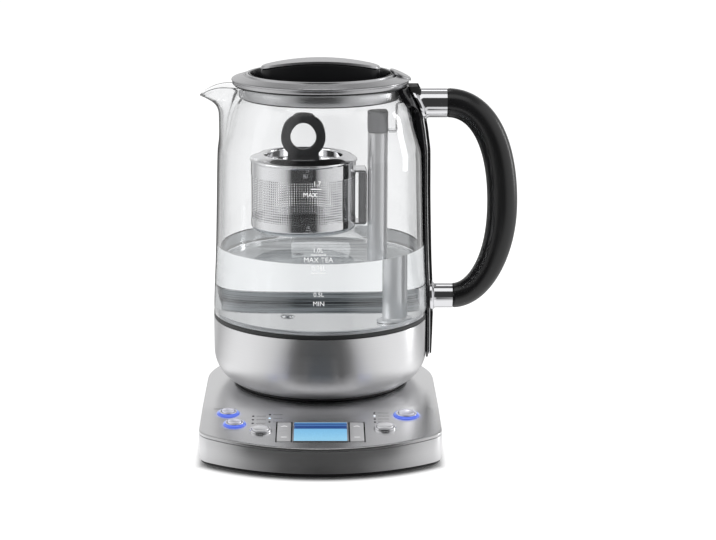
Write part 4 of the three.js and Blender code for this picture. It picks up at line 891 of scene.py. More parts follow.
def panel_slab(half_x, half_y, x, y, bottom, top, corner, edge, crown=0.0):
    """Rounded plate on the panel. A crown lowers it towards its front and rear ends by the
    square of the distance from its middle."""
    points = slab(box_outline(half_x, half_y, corner, 8), bottom, top, edge)
    raised = points[..., 2] > bottom + 1e-6
    points[..., 2] -= np.where(raised, crown * (points[..., 1] / half_y) ** 2, 0)
    return loft(points, caps=False).moved(x, y)


class TEAMAKER_OT_display(bpy.types.Operator):
    """Backlit display in its frame and the two rocker keys with their marks"""
    bl_idname = "teamaker.display"
    bl_label = "Make the Display and Keys"

    def execute(self, context):
        outer = box_outline(18.6, 18.2, 0.9)
        inner = box_outline(17.5, 17.2, 0.5)
        levels = [(outer, -8.1), (outer, 0.3), (outer * 0.997, 0.5), (inner * 1.02, 0.5),
                  (inner, 0.25), (inner, -1.0)]
        rings = np.stack([vectors(o[:, 0], o[:, 1] + DISPLAY_Y, h) for o, h in levels])
        piece("display_frame", loft(rings).onto_panel(), "base", "chrome", ["display_module"])
        window = panel_slab(*WINDOW, 0, DISPLAY_Y, -0.9, 0.2, 0.5, 0.15)
        piece("display_skin", window.onto_panel(), "base", "display", ["display_window"])
        well = panel_slab(*WELL, 0, DISPLAY_Y, -4.6, -3.8, 0.6, 0.01)
        piece("display_well", well.onto_panel(), "base", "black")

        for name, x in (("left", -KEY_X), ("right", KEY_X)):
            key = panel_slab(*KEY, x, DISPLAY_Y, -2.7, 0.7, 0.7, 0.25, crown=0.35)
            piece(name + "_key_skin", key.onto_panel(), name + "_rocker", "key", [name + "_key"])
            low, high = KEY_UP - 0.9, KEY_UP + 0.9
            marks = strokes([[x - 1.9, low, x, high], [x, high, x + 1.9, low],
                             [x - 1.9, KEY_DOWN, x + 1.9, KEY_DOWN]], 0.55, 0.62, 0.4)
            piece(name + "_key_marks", marks.onto_panel(), name + "_rocker", "print")
        return {"FINISHED"}


class TEAMAKER_OT_lights(bpy.types.Operator):
    """Ten small indicator lights and the fine printed lines beside them"""
    bl_idname = "teamaker.lights"
    bl_label = "Make the Indicator Lights"

    def execute(self, context):
        sides = {"left": Surface(), "right": Surface()}
        for x, ys in PIN_COLUMNS:
            for y in ys:
                pin = revolve([[0, -6.9], [0.8, -6.9], [0.8, 0.1], [0.65, 0.24], [0.35, 0.3],
                               [0, 0.32]], 20, closed=False).moved(x, y)
                finish = LIT_PINS.get((x, y))
                if finish:
                    piece(finish + "_lens", pin.onto_panel(), "base", finish)
                else:
                    sides["left" if x < 0 else "right"].add(pin)
        for name, side in sides.items():
            piece(name + "_pin_lenses", side.onto_panel(), "base", "pin",
                  [name + "_indicator_pins"])
        lines = [[x + 2.2, y, x + (8.6 if x < 0 else 9.5), y] for x, ys in PIN_COLUMNS for y in ys]
        lines += [[-72, -2.2, -57, -2.2], [-63.5, -42.5, -53.5, -42.5]]
        piece("panel_lines", strokes(lines, 0.42, 0.06, 0.005).onto_panel(), "base", "dark_print")
        return {"FINISHED"}


# Jug -----------------------------------------------------------------------------------------

# Rows of the glass: share of the height, share of the way from neck radius to jug radius, share
# of the spout's extra reach and share of the spout's dip
GLASS_ROWS = np.array([
    [0, 0.994, 0, 0], [0.038, 0.989, 0, 0], [0.264, 0.903, 0, 0], [0.491, 0.846, 0, 0],
    [0.711, 0.794, 0, 0], [0.767, 0.686, 0.035, 0], [0.827, 0.543, 0.125, 0],
    [0.884, 0.44, 0.202, 0.175], [0.928, 0.275, 0.361, 0.61], [0.962, 0.107, 0.589, 0.84],
    [0.984, 0.026, 0.83, 0.895], [1, 0, 1, 1],
])
GLASS_WALL = 3.0
SPOUT_HALF_ANGLE = math.radians(20)
SPOUT_DIP = 5.7
DIP_HALF_ANGLE = math.radians(11)

# The curved foot of the band: middle and radius of its arc, and where it is cut off below
BAND_ARC = (54.0, 23.5)
BAND_BULGE, BAND_RISE = 21.0, 23.25
BAND_WALL = 1.2
BAND_CUT = 61.3

# Each level mark: text, middle X, height of its foot and height of its capitals
WORDS = [("1.7", -2.3, 176.6, 3.0), ("MAX", -6.9, 168.8, 3.1), ("1.0L", -1.7, 131.6, 2.9),
         ("MAX TEA", -1.4, 124.9, 3.3), ("0.75L", -1.2, 119.2, 2.9), ("0.5L", -1.2, 101.5, 2.9),
         ("MIN", -1.2, 95.2, 3.1)]
BARS = [(-6.3, 0.6, 174.2), (-6.5, 3.8, 129.9), (-6.2, 3.9, 117.5)]
MARK_WIDTH = 0.56
PRINT_LIFT = 0.07


def glass_radius(z):
    """Outer radius of the glass at a height, away from the spout."""
    share = (np.asarray(z, float) - GLASS_FOOT) / GLASS_HEIGHT
    return NECK + through(GLASS_ROWS[:, 0], GLASS_ROWS[:, 1], share) * (JUG_RADIUS - NECK)


def hump(angle, half_angle):
    """Cosine squared over the half angle to both sides, and zero outside it."""
    t = np.clip(np.abs(angle) / half_angle, 0, 1)
    return np.cos(math.pi / 2 * t) ** 2


def glass_wall(angle, share, inset):
    """Points of the glass: the wall of revolution, drawn out and down near the spout."""
    wall, reach, dip = (through(GLASS_ROWS[:, 0], GLASS_ROWS[:, i], share) for i in (1, 2, 3))
    turn = angle - math.pi
    r = (NECK + wall * (JUG_RADIUS - NECK) - inset
         + reach * (SPOUT_REACH - NECK) * hump(turn, SPOUT_HALF_ANGLE))
    z = GLASS_FOOT + share * GLASS_HEIGHT - dip * SPOUT_DIP * hump(turn, DIP_HALF_ANGLE)
    return vectors(r * np.cos(angle), r * np.sin(angle), z)


class TEAMAKER_OT_jug_foot(bpy.types.Operator):
    """Bottom cover, stainless band, seal and floor of the jug"""
    bl_idname = "teamaker.jug_foot"
    bl_label = "Make the Foot of the Jug"

    def execute(self, context):
        cover = revolve([
            [57, 0], [60.5, 0], [60.8, 0.1], [60.9, 0.4], [60.9, 1.5], [60.3, 1.8], [60.3, 6.7],
            [16.5, 6.7], [16.5, 4.5], [57, 4.5]])
        piece("bottom_cover_skin", cover.moved(z=JUG), "jug", "satin", ["jug_bottom_cover"])

        x, z = BAND_ARC
        a = np.linspace(-math.acos((BAND_CUT - x) / BAND_BULGE), 0, 22)
        outer, inner = (
            np.stack([x + (BAND_BULGE - wall) * np.cos(a), z + (BAND_RISE - wall) * np.sin(a)],
                     axis=1) for wall in (0, BAND_WALL))
        top = [[75, 30], [75, 46.35], [74.87, 46.68], [74.55, 46.8], [74.1, 46.75], [73.8, 46.4]]
        band = revolve(np.concatenate([outer, top, inner[::-1]]), 240)
        piece("band_skin", band.moved(z=JUG), "jug", "band", ["jug_band"])

        seal = revolve([
            [70.6, 42.5], [73.5, 42.5], [73.5, 47.1], [74.7, 47.1], [75, 47.35], [75, 49.6],
            [74.7, 49.85], [71.4, 49.85], [71.4, 51.8], [71.2, 52.05], [70.8, 52.05],
            [70.6, 51.8]], 200)
        piece("seal_skin", seal.moved(z=JUG), "jug", "jug_seal", ["jug_seal"])
        floor = revolve([[0, 43], [69.3, 43], [69.3, 38], [70.3, 38], [70.3, 44.2], [70, 44.5],
                         [0, 44.5]])
        piece("floor_skin", floor.moved(z=JUG), "jug", "floor_steel", ["jug_floor"])
        probe = revolve([[0, 33.4], [3.4, 33.4], [3.4, 41], [6, 41], [6, 42.6], [3.4, 42.6],
                         [3.4, 44.6], [3.1, 45.3], [2.4, 45.8], [1.4, 46], [0, 46]], 48)
        piece("probe_skin", probe.moved(-16, 20, JUG), "jug", "polished", ["temperature_probe"])
        return {"FINISHED"}


class TEAMAKER_OT_glass(bpy.types.Operator):
    """Glass wall with its drawn spout"""
    bl_idname = "teamaker.glass"
    bl_label = "Make the Glass"

    def execute(self, context):
        # Up the outside, over the round lip and down the inside
        share = np.concatenate([np.linspace(0, 0.7, 36), np.linspace(0.7, 1, 44)[1:]])
        turn = np.linspace(0, math.pi, 9)
        half = GLASS_WALL / 2
        column = np.concatenate([share, 1 + 0 * turn, share[::-1]])
        inset = np.concatenate([0 * share, half - half * np.cos(turn), 0 * share + GLASS_WALL])
        rise = np.concatenate([0 * share, half * np.sin(turn), 0 * share])
        # Directions round the glass, closer together across the spout
        close = np.linspace(math.pi - 0.42, math.pi + 0.42, 70)
        angles = np.unique(np.concatenate([circle(180), close]))
        wall = glass_wall(angles[:, None], column, inset)
        wall[..., 2] += rise - half * smooth_step(10 * column - 9)
        glass = Surface().grid(wall, wrap_rows=True, wrap_columns=True)
        piece("glass_skin", glass, "jug", "glass", ["jug_glass"], crease=50)
        return {"FINISHED"}


def lettering(text, height):
    """Outline letters as flat faces, centred in X, with capitals of the given height."""
    curve = bpy.data.curves.new("letters", "FONT")
    curve.body = text
    curve.align_x = "CENTER"
    curve.size = height / 0.7
    curve.resolution_u = 3
    carrier = bpy.data.objects.new("letters", curve)
    bpy.context.scene.collection.objects.link(carrier)
    bpy.context.view_layer.update()
    mesh = bpy.data.meshes.new_from_object(carrier)
    points = np.zeros(len(mesh.vertices) * 3, np.float32)
    mesh.vertices.foreach_get("co", points)
    letters = Surface()
    letters.points.append(points.reshape(-1, 3).astype(float))
    letters.faces += [list(face.vertices) for face in mesh.polygons]
    letters.count = len(mesh.vertices)
    bpy.data.objects.remove(carrier)
    bpy.data.curves.remove(curve)
    bpy.data.meshes.remove(mesh)
    return letters


class TEAMAKER_OT_marks(bpy.types.Operator):
    """White level marks on the front of the glass"""
    bl_idname = "teamaker.marks"
    bl_label = "Make the Level Marks"

    def execute(self, context):
        shape = Surface()
        for text, x, z, height in WORDS:
            shape.add(lettering(text, height).moved(x, z))
        for x0, x1, z in BARS:
            edges = np.array([[z - MARK_WIDTH / 2], [z + MARK_WIDTH / 2]])
            shape.grid(vectors(np.linspace(x0, x1, 12), edges, 0.0))
        # The flat drawing is rolled round the glass
        flat = np.concatenate(shape.points)
        r = glass_radius(flat[:, 1]) + PRINT_LIFT
        turn = flat[:, 0] / r
        shape.points = [vectors(r * np.sin(turn), -r * np.cos(turn), flat[:, 1])]
        piece("level_marks", shape, "jug", "print", thicken=0.05)
        return {"FINISHED"}


class TEAMAKER_OT_water(bpy.types.Operator):
    """Water that stands in the jug and moves with it"""
    bl_idname = "teamaker.water"
    bl_label = "Fill the Jug"

    def execute(self, context):
        level, climb = JUG + look().water_level / MM, 0.5
        z = np.linspace(77.2, level + climb, 40)
        side = np.stack([glass_radius(z) - 2.94, z], axis=1)
        # The surface climbs the glass at its edge
        t = np.linspace(0, 1, 7)[1:]
        skin = np.stack([side[-1, 0] - 3.0 * t, level + climb * (1 - t) ** 3], axis=1)
        foot = [[0, FLOOR_TOP + 0.03], [70.45, FLOOR_TOP + 0.03], [70.45, 77.0]]
        water = revolve(np.concatenate([foot, side, skin, [[0, level]]]), 200)
        piece("water", water, "jug", "water", crease=60)
        return {"FINISHED"}


# Handle --------------------------------------------------------------------------------------

# Rows of the spine: share of the glass's height and share of the extra stand-off there
SPINE_ROWS = np.array([
    [0.038, 0], [0.264, 0], [0.491, 0], [0.711, 0.1], [0.767, 0.3], [0.827, 0.55],
    [0.884, 0.59], [0.928, 0.72], [0.962, 0.66], [1, 0.45]])
SPINE_STAND, SPINE_EXTRA = 1.4, 4.6
SPINE_BEND = GLASS_FOOT + SPINE_ROWS[0, 0] * GLASS_HEIGHT
SPINE_HALF, CLAMP_HALF = 12.6, 24.0
TRIM_FOOT = JUG + 18.8
TAIL_TOP = JUG + 49.1
PAD_FOOT = GLASS_FOOT + 0.955 * GLASS_HEIGHT

# Height, radius and reach along X of each arm, and the same of the grip's outermost point
UPPER_ARM = (LIP - 12.35, 10.1, 87.2)
LOWER_ARM = (JUG + 60.1, 8.7, 92.7)
GRIP_OUT = (JUG + 124.7, 10.5, 126.9)


def spine_radius(z):
    """Outer radius of the spine: that of the band or glass, and how far it stands off there."""
    z = np.asarray(z, float)
    share = np.clip((z - GLASS_FOOT) / GLASS_HEIGHT, SPINE_ROWS[0, 0], 1)
    off = SPINE_STAND + SPINE_EXTRA * through(SPINE_ROWS[:, 0], SPINE_ROWS[:, 1], share)
    on_glass = glass_radius(np.maximum(z, SPINE_BEND)) + off
    low = JUG_RADIUS + SPINE_STAND
    blend = np.clip((z - 60) / (SPINE_BEND - 60), 0, 1)
    return np.where(z < SPINE_BEND, low + (on_glass - low) * blend, on_glass)


def spine_strip(z, section):
    """Carries a closed section of [Y, stand-off], or one section for each height, along the outer
    face of the spine. Each point is moved square to the spine's profile, and X follows from
    radius and Y."""
    r = spine_radius(z)
    slope_r, slope_z = np.gradient(r), np.gradient(z)
    length = np.hypot(slope_r, slope_z)
    out_r, out_z = slope_z / length, -slope_r / length
    section = np.broadcast_to(section, (len(z),) + section.shape[-2:])
    y, off = section[..., 0], section[..., 1]
    radius = r[:, None] + off * out_r[:, None]
    height = z[:, None] + off * out_z[:, None]
    return loft(vectors(np.sqrt(radius**2 - y**2), y, height))


def bar_section(half_width, inner, outer, corner):
    """Rectangle across the spine with round corners."""
    return rounded([[-half_width, inner], [half_width, inner], [half_width, outer],
                    [-half_width, outer]], corner, 6)


def swelling_section(half_width, corner, inner, reach):
    """One rectangle with round corners for each reach of its outer face past the inner one."""
    unit = bar_section(half_width, 0, 1, corner)
    off = inner + unit[:, 1] * reach[:, None]
    return vectors(unit[:, 0], off)


class TEAMAKER_OT_spine(bpy.types.Operator):
    """Black spine on the glass with its chrome line, rib, tail and thumb pad"""
    bl_idname = "teamaker.spine"
    bl_label = "Make the Handle Spine"

    def execute(self, context):
        z = np.concatenate([np.linspace(JUG + 18.5, 215, 80), np.linspace(215, LIP, 40)[1:]])
        half = SPINE_HALF + (CLAMP_HALF - SPINE_HALF) * smooth_step((z - 217) / 7)
        on_jug = np.where(z < GLASS_FOOT, JUG_RADIUS, glass_radius(np.maximum(z, GLASS_FOOT)))
        inner, outer = on_jug + SEAM, spine_radius(z)
        ring = rounded([[-1, 0], [1, 0], [1, 1], [-1, 1]], [0.02, 0.02, 0.12, 0.12], 10)
        # Many points along the two long sides keep them on their arcs
        place = np.arange(len(ring) + 1)
        side = np.append(ring, ring[:1], axis=0)
        steps = np.where(np.abs(np.diff(side[:, 0])) > 0.5, 16, 1)
        at = np.concatenate([i + np.arange(n) / n for i, n in zip(place, steps)])
        across, out = (np.interp(at, place, side[:, k]) for k in (0, 1))
        y = half[:, None] * across
        r = inner[:, None] + (outer - inner)[:, None] * out
        piece("spine_skin", loft(vectors(np.sqrt(r**2 - y**2), y, z[:, None])), "jug", "black",
              ["handle_spine"], crease=40)

        trim = spine_strip(np.linspace(TRIM_FOOT, PAD_FOOT, 120), bar_section(6, 0.3, 1.0, 0.3))
        piece("trim_skin", trim, "jug", "chrome", ["handle_trim"])
        rib = spine_strip(np.linspace(96, 209, 90), bar_section(4, 1.3, 3.1, 1.0))
        piece("rib_skin", rib, "jug", "black", ["handle_rib"])
        z = np.linspace(TRIM_FOOT, TAIL_TOP, 30)
        reach = 0.8 + np.clip((z - TRIM_FOOT) / 30.3, 0, 1)
        tail = spine_strip(z, swelling_section(4, 0.3, 1.3, reach))
        piece("tail_skin", tail, "jug", "black", ["handle_tail"])

        # The pad has three ridges and round ends
        knots = np.linspace(PAD_FOOT + SEAM, LIP, 25)
        share = (knots - knots[0]) / (knots[-1] - knots[0])
        valleys = 0.7 * (np.sin(share * math.pi * 6) < 0)
        ends = 1.2 * (1 - np.sqrt(np.clip(1 - (2 * share - 1) ** 8, 0, 1)))
        z = np.linspace(knots[0], knots[-1], 61)
        height = np.interp(z, knots, 6.9 - valleys - ends) - SEAM
        pad = spine_strip(z, swelling_section(9, 0.25, SEAM, height))
        top = pad.points[0][:, 2]
        np.minimum(top, LIP, out=top)
        piece("pad_skin", pad, "jug", "rubber", ["thumb_pad"], crease=25)
        return {"FINISHED"}


def arm(height, radius, reach):
    """Round arm along X that grows out of a collar. At the spine its ends follow the spine's
    face, and along its length they turn flat: x = (1 - t) * face + t * reach."""
    rows = [(radius + 2, 1.35, 0), (radius + 2, 2.6, 0), (radius + 1.8, 3.1, 0),
            (radius + 1.3, 3.45, 0), (radius + 0.7, 3.6, 0), (radius + 0.25, 3.9, 0),
            (radius, 4.6, 0.02), *((radius, 4.6, t) for t in np.linspace(0.1, 1, 10)),
            (radius - 0.12, 4.6, 1), (radius - 0.5, 4.6, 1)]
    rho, off, t = (np.array(column)[:, None] for column in zip(*rows))
    a = circle(72)
    y = rho * np.cos(a)
    z = height + rho * np.sin(a)
    face = np.sqrt((spine_radius(np.minimum(z, LIP)) + off) ** 2 - y**2)
    return loft(vectors((1 - t) * face + t * reach, y, z))


def bezier(points, t):
    """Cubic curve from the first point to the last, drawn towards the two between."""
    p = np.asarray(points, float)
    t = t[:, None]
    return ((1 - t) ** 3 * p[0] + 3 * t * (1 - t) ** 2 * p[1] + 3 * t * t * (1 - t) * p[2]
            + t**3 * p[3])


class TEAMAKER_OT_grip(bpy.types.Operator):
    """Two chrome arms and the thick round grip between them"""
    bl_idname = "teamaker.grip"
    bl_label = "Make the Grip"

    def execute(self, context):
        for name, place in (("upper", UPPER_ARM), ("lower", LOWER_ARM)):
            piece(name + "_arm_skin", arm(*place), "jug", "arm", [f"handle_{name}_arm"])

        (upper, thick, near), (lower, thin, far) = UPPER_ARM, LOWER_ARM
        middle, widest, out = GRIP_OUT
        t = np.linspace(0, 1, 60)
        first = bezier([(near + SEAM, upper), (near + 0.66 * (out - near), upper),
                        (out, middle + 0.58 * (upper - middle)), (out, middle)], t)
        last = bezier([(out, middle), (out, middle - 0.59 * (middle - lower)),
                       (far + 0.53 * (out - far), lower), (far + SEAM, lower)], t)

        def swell(line, start, end):
            """Radius along a line: a smooth step from start to end over its length."""
            run = np.concatenate([[0], np.cumsum(np.hypot(*np.diff(line, axis=0).T))])
            return start + (end - start) * smooth_step(run / run[-1])

        radius = np.concatenate([swell(first, thick, widest), swell(last, widest, thin)[1:]])
        radius[[0, -1]] -= 0.35
        x, z = np.concatenate([first, last[1:]]).T
        path = vectors(x, 0, z)
        along = np.gradient(path, axis=0)
        along /= np.linalg.norm(along, axis=1, keepdims=True)
        side = np.array([[0.0, 1.0, 0.0]])
        across = np.cross(along, side)
        a = circle(64)[:, None]
        rings = path[:, None] + radius[:, None, None] * (
            np.cos(a) * across[:, None] + np.sin(a) * side[:, None])
        piece("grip_skin", loft(rings), "jug", "grip", ["handle_grip"])
        return {"FINISHED"}


# Lift and basket -----------------------------------------------------------------------------

POST_FOOT, POST_TOP = FLOOR_TOP + 0.3, JUG + 176.6

# The basket over its own foot: radius of its wall, sheet, corner below and the span of the mesh
BASKET_RADIUS = 36.5
SHEET = 0.8
BASKET_CORNER = 3.6
MESH_LOW, MESH_HIGH = 8.6, 38.4

# The carrier's strip: heights, far side, half thickness and the wall that it lies against
CARRIER_LOW, CARRIER_HIGH = BASKET_FOOT + 3.6, BASKET_FOOT + 41.9
CARRIER_X = 32.3
STRIP_HALF = 0.75
CARRIER_WALL = BASKET_RADIUS + 0.1
MAGNET_X = (26.7 + 30.5) / 2

# The cover's ring handle over the rim: height of its middle, its radii, and its neck
COVER_RIM = BASKET_FOOT + 47.8
RING_HEIGHT = 16.3
RING_OUTER, RING_INNER = 15.4, 8.9
RING_NECK, RING_FOOT = 10.8, -1.7
RING_HALF = 3.4


class TEAMAKER_OT_lift(bpy.types.Operator):
    """Steel post with its cap and the clear bracket that holds it to the glass"""
    bl_idname = "teamaker.lift"
    bl_label = "Make the Lift Post"

    def execute(self, context):
        foot, top = POST_FOOT, POST_TOP
        tube = revolve([
            [6, foot], [10, foot], [10, foot + 1.3], [9.7, foot + 1.6], [7.5, foot + 1.7],
            [7, foot + 2.3], [7, top - 0.2], [6.8, top], [6, top]], 96)
        piece("post_skin", tube.moved(POST_X), "jug", "post", ["post_tube"])
        cap = revolve([
            [0, top - 4], [5.7, top - 4], [5.7, top + 0.3], [6.95, top + 0.3], [7.2, top + 0.6],
            [7.2, top + 12.6], [7.0, top + 13.4], [6.4, top + 13.9], [5.6, top + 14],
            [0, top + 13.9]], 80)
        piece("cap_skin", cap.moved(POST_X), "jug", "grey", ["post_cap"])
        low, high = top + SEAM + 0.6, top + SEAM + 20.4
        end = float(glass_radius(high)) - 3.35
        line = rounded([[47.3, low], [53, low], [53, high], [end, high]], 2.2, 10, closed=False)
        piece("bracket_skin", loft(ribbon(line, 5, 0.6, 0.35)), "jug", "clear",
              ["post_bracket"])
        return {"FINISHED"}


class TEAMAKER_OT_basket(bpy.types.Operator):
    """Basket of fine steel mesh between two solid bands, with its carrier"""
    bl_idname = "teamaker.basket"
    bl_label = "Make the Basket"

    def execute(self, context):
        low, high, radius, corner = MESH_LOW, MESH_HIGH, BASKET_RADIUS, BASKET_CORNER
        a = np.linspace(-math.pi / 2, 0, 12)
        outside, inside = (
            np.stack([radius - corner + r * np.cos(a), corner + r * np.sin(a)], axis=1)
            for r in (corner, corner - SHEET))
        foot = revolve(np.concatenate([[[0, 0]], outside, [[radius, low], [radius - SHEET, low]],
                                       inside[::-1], [[0, SHEET]]]))
        piece("basket_foot", foot.moved(BASKET_X, 0, BASKET_FOOT), "basket", "bright",
              ["basket_shell"])
        rim = revolve([
            [radius - SHEET, high], [radius, high], [radius, 45.6], [radius, 46.4],
            [radius - 0.05, 47.1], [radius - 0.4, 47.5], [radius - 0.8, 47.3], [radius - 1, 46.4],
            [radius - 0.8, 45.4]])
        piece("basket_rim", rim.moved(BASKET_X, 0, BASKET_FOOT), "basket", "bright")

        # Each wire is a flat strip: four corners of a thin rectangle that lies along the wall
        pitch, wire = look().mesh_pitch / MM, look().mesh_wire / MM / 2
        middle = radius - SHEET / 2
        out = np.array([-0.07, 0.07, 0.07, -0.07])
        along = np.array([-wire, -wire, wire, wire])
        swing = circle(int(round(TURN * middle / pitch)))[:, None, None] + along / middle
        level = np.array([low, high])[:, None]
        mesh = loft(vectors((middle + out) * np.cos(swing), (middle + out) * np.sin(swing), level),
                    caps=False)
        rings = np.arange(low + pitch / 2, high, pitch)[:, None, None]
        turn = circle(120)[:, None]
        r = middle + 0.9 * out
        mesh.grid(vectors(r * np.cos(turn), r * np.sin(turn), rings + along), wrap_rows=True,
                  wrap_columns=True)
        piece("basket_mesh", mesh.moved(BASKET_X, 0, BASKET_FOOT), "basket", "wire")

        bottom, top = CARRIER_LOW, CARRIER_HIGH
        left, right = BASKET_X + CARRIER_WALL, CARRIER_X - STRIP_HALF
        line = rounded([[left, bottom + STRIP_HALF], [right, bottom + STRIP_HALF],
                        [right, top - STRIP_HALF], [left, top - STRIP_HALF]], 1.8, 8, closed=False)
        strip = ribbon(line, 8, STRIP_HALF, 0.4)
        # Its two ends follow the round wall of the basket
        round_back = CARRIER_WALL - np.sqrt(CARRIER_WALL**2 - strip[..., 1] ** 2)
        strip[..., 0] -= np.where(strip[..., 0] < left + 2, round_back, 0)
        piece("carrier_skin", loft(strip), "basket", "bright", ["basket_carrier"])
        insert = slab(box_outline(1.95, 7.7, 0.6), bottom + 1.8, top - 1.8, 0.4)
        piece("magnet_skin", loft(insert, caps=False).moved(MAGNET_X), "basket", "magnet",
              ["carrier_magnet"])
        return {"FINISHED"}


class TEAMAKER_OT_basket_cover(bpy.types.Operator):
    """Cover of the basket with its raised lip, sunken dish and ring handle"""
    bl_idname = "teamaker.basket_cover"
    bl_label = "Make the Basket Cover"

    def execute(self, context):
        flange = rounded([
            [35, 0], [37.3, 0], [37.5, 1.0], [36.2, 2.2], [32, 3.9], [29.2, 4.6], [27.4, 4.2],
            [27, 3.0], [27, -2], [0, -2], [0, -3], [28, -3], [28, 2.6], [29.5, 3.6], [34, 1.2],
            [34, -5], [35, -5]],
            [0.3, 0.2, 0.8, 1.5, 2, 1, 1, 0.6, 0.6, 0, 0, 0.5, 1, 0.8, 0.5, 0, 0], 5)
        piece("cover_skin", revolve(flange).moved(BASKET_X, 0, COVER_RIM), "basket_cover",
              "bright", ["basket_lid"])

        # The ring's outline is a circle, and where the neck is wider, the neck's rectangle
        meet = RING_HEIGHT - math.sqrt(RING_OUTER**2 - RING_NECK**2)
        corners = [math.atan2(z - RING_HEIGHT, y) % TURN for z, y in (
            (meet, -RING_NECK), (RING_FOOT, -RING_NECK), (RING_FOOT, RING_NECK),
            (meet, RING_NECK))]
        a = np.unique(np.concatenate([circle(140), corners]))
        cos, sin = np.cos(a), np.sin(a)
        neck = np.minimum(RING_NECK / np.maximum(np.abs(cos), 1e-9),
                          (RING_HEIGHT - RING_FOOT) / np.maximum(np.abs(sin), 1e-9))
        reach = np.where((a >= corners[0]) & (a <= corners[3]), neck, RING_OUTER)
        out, side = rounded([[0, -1], [1, -1], [1, 1], [0, 1]], 0.16, 6).T
        r = RING_INNER + (reach - RING_INNER)[:, None] * out
        ring = Surface().grid(
            vectors(r * cos[:, None], RING_HALF * side, RING_HEIGHT + r * sin[:, None]),
            wrap_rows=True, wrap_columns=True)
        piece("ring_skin", ring.moved(BASKET_X, 0, COVER_RIM), "basket_cover", "dark",
              ["basket_lid_ring"])
        return {"FINISHED"}


# Lid -----------------------------------------------------------------------------------------

# The grip bar: half its length and width, radius of its ends, height and rise of its arched top
BAR_LENGTH, BAR_WIDTH, BAR_END = 41.0, 13.0, 9.0
BAR_TOP, BAR_RISE = RIM_TOP + 13.5, 4.5
BAR_EDGE = 1.2
DISH_FLOOR = RIM_TOP - 4
RIM_EDGE = 49.6
TAB_X, TAB_REACH, TAB_HALF = 55.2, 7.2, 10.0


def bar_outline(extra):
    """Plan of the lid's grip bar: two long arcs that meet in round ends."""
    length, width, end = BAR_LENGTH + extra, BAR_WIDTH + extra, BAR_END + extra
    end_x = length - end
    bow = (end_x**2 - end**2 + width**2) / (2 * (width - end))
    drop = bow - width
    turn = math.atan2(end_x, drop)
    up = math.pi / 2
    return np.concatenate([
        arc(0, drop, bow, -up - turn, -up + turn, 40),
        arc(end_x, 0, end, -up + turn, up - turn, 28),
        arc(0, -drop, bow, up - turn, up + turn, 40),
        arc(-end_x, 0, end, up + turn, 3 * up - turn, 28)])


def arched(scale, outline, depth):
    """A plan drawn in by each scale towards its middle, laid on the arched top of the bar and sunk
    by the depth. The arch is a circle through the top's middle and its two ends."""
    flat = scale[:, None, None] * outline
    radius = (BAR_LENGTH**2 + BAR_RISE**2) / (2 * BAR_RISE)
    z = BAR_TOP - radius + np.sqrt((radius - depth) ** 2 - flat[..., 0] ** 2)
    return vectors(flat[..., 0], flat[..., 1], z)


def rim_top(x):
    """Height of the rim's top face, which rises evenly from its outer shoulder inwards."""
    return RIM_INNER - (x - RIM_EDGE) * 4.7 / 10.6


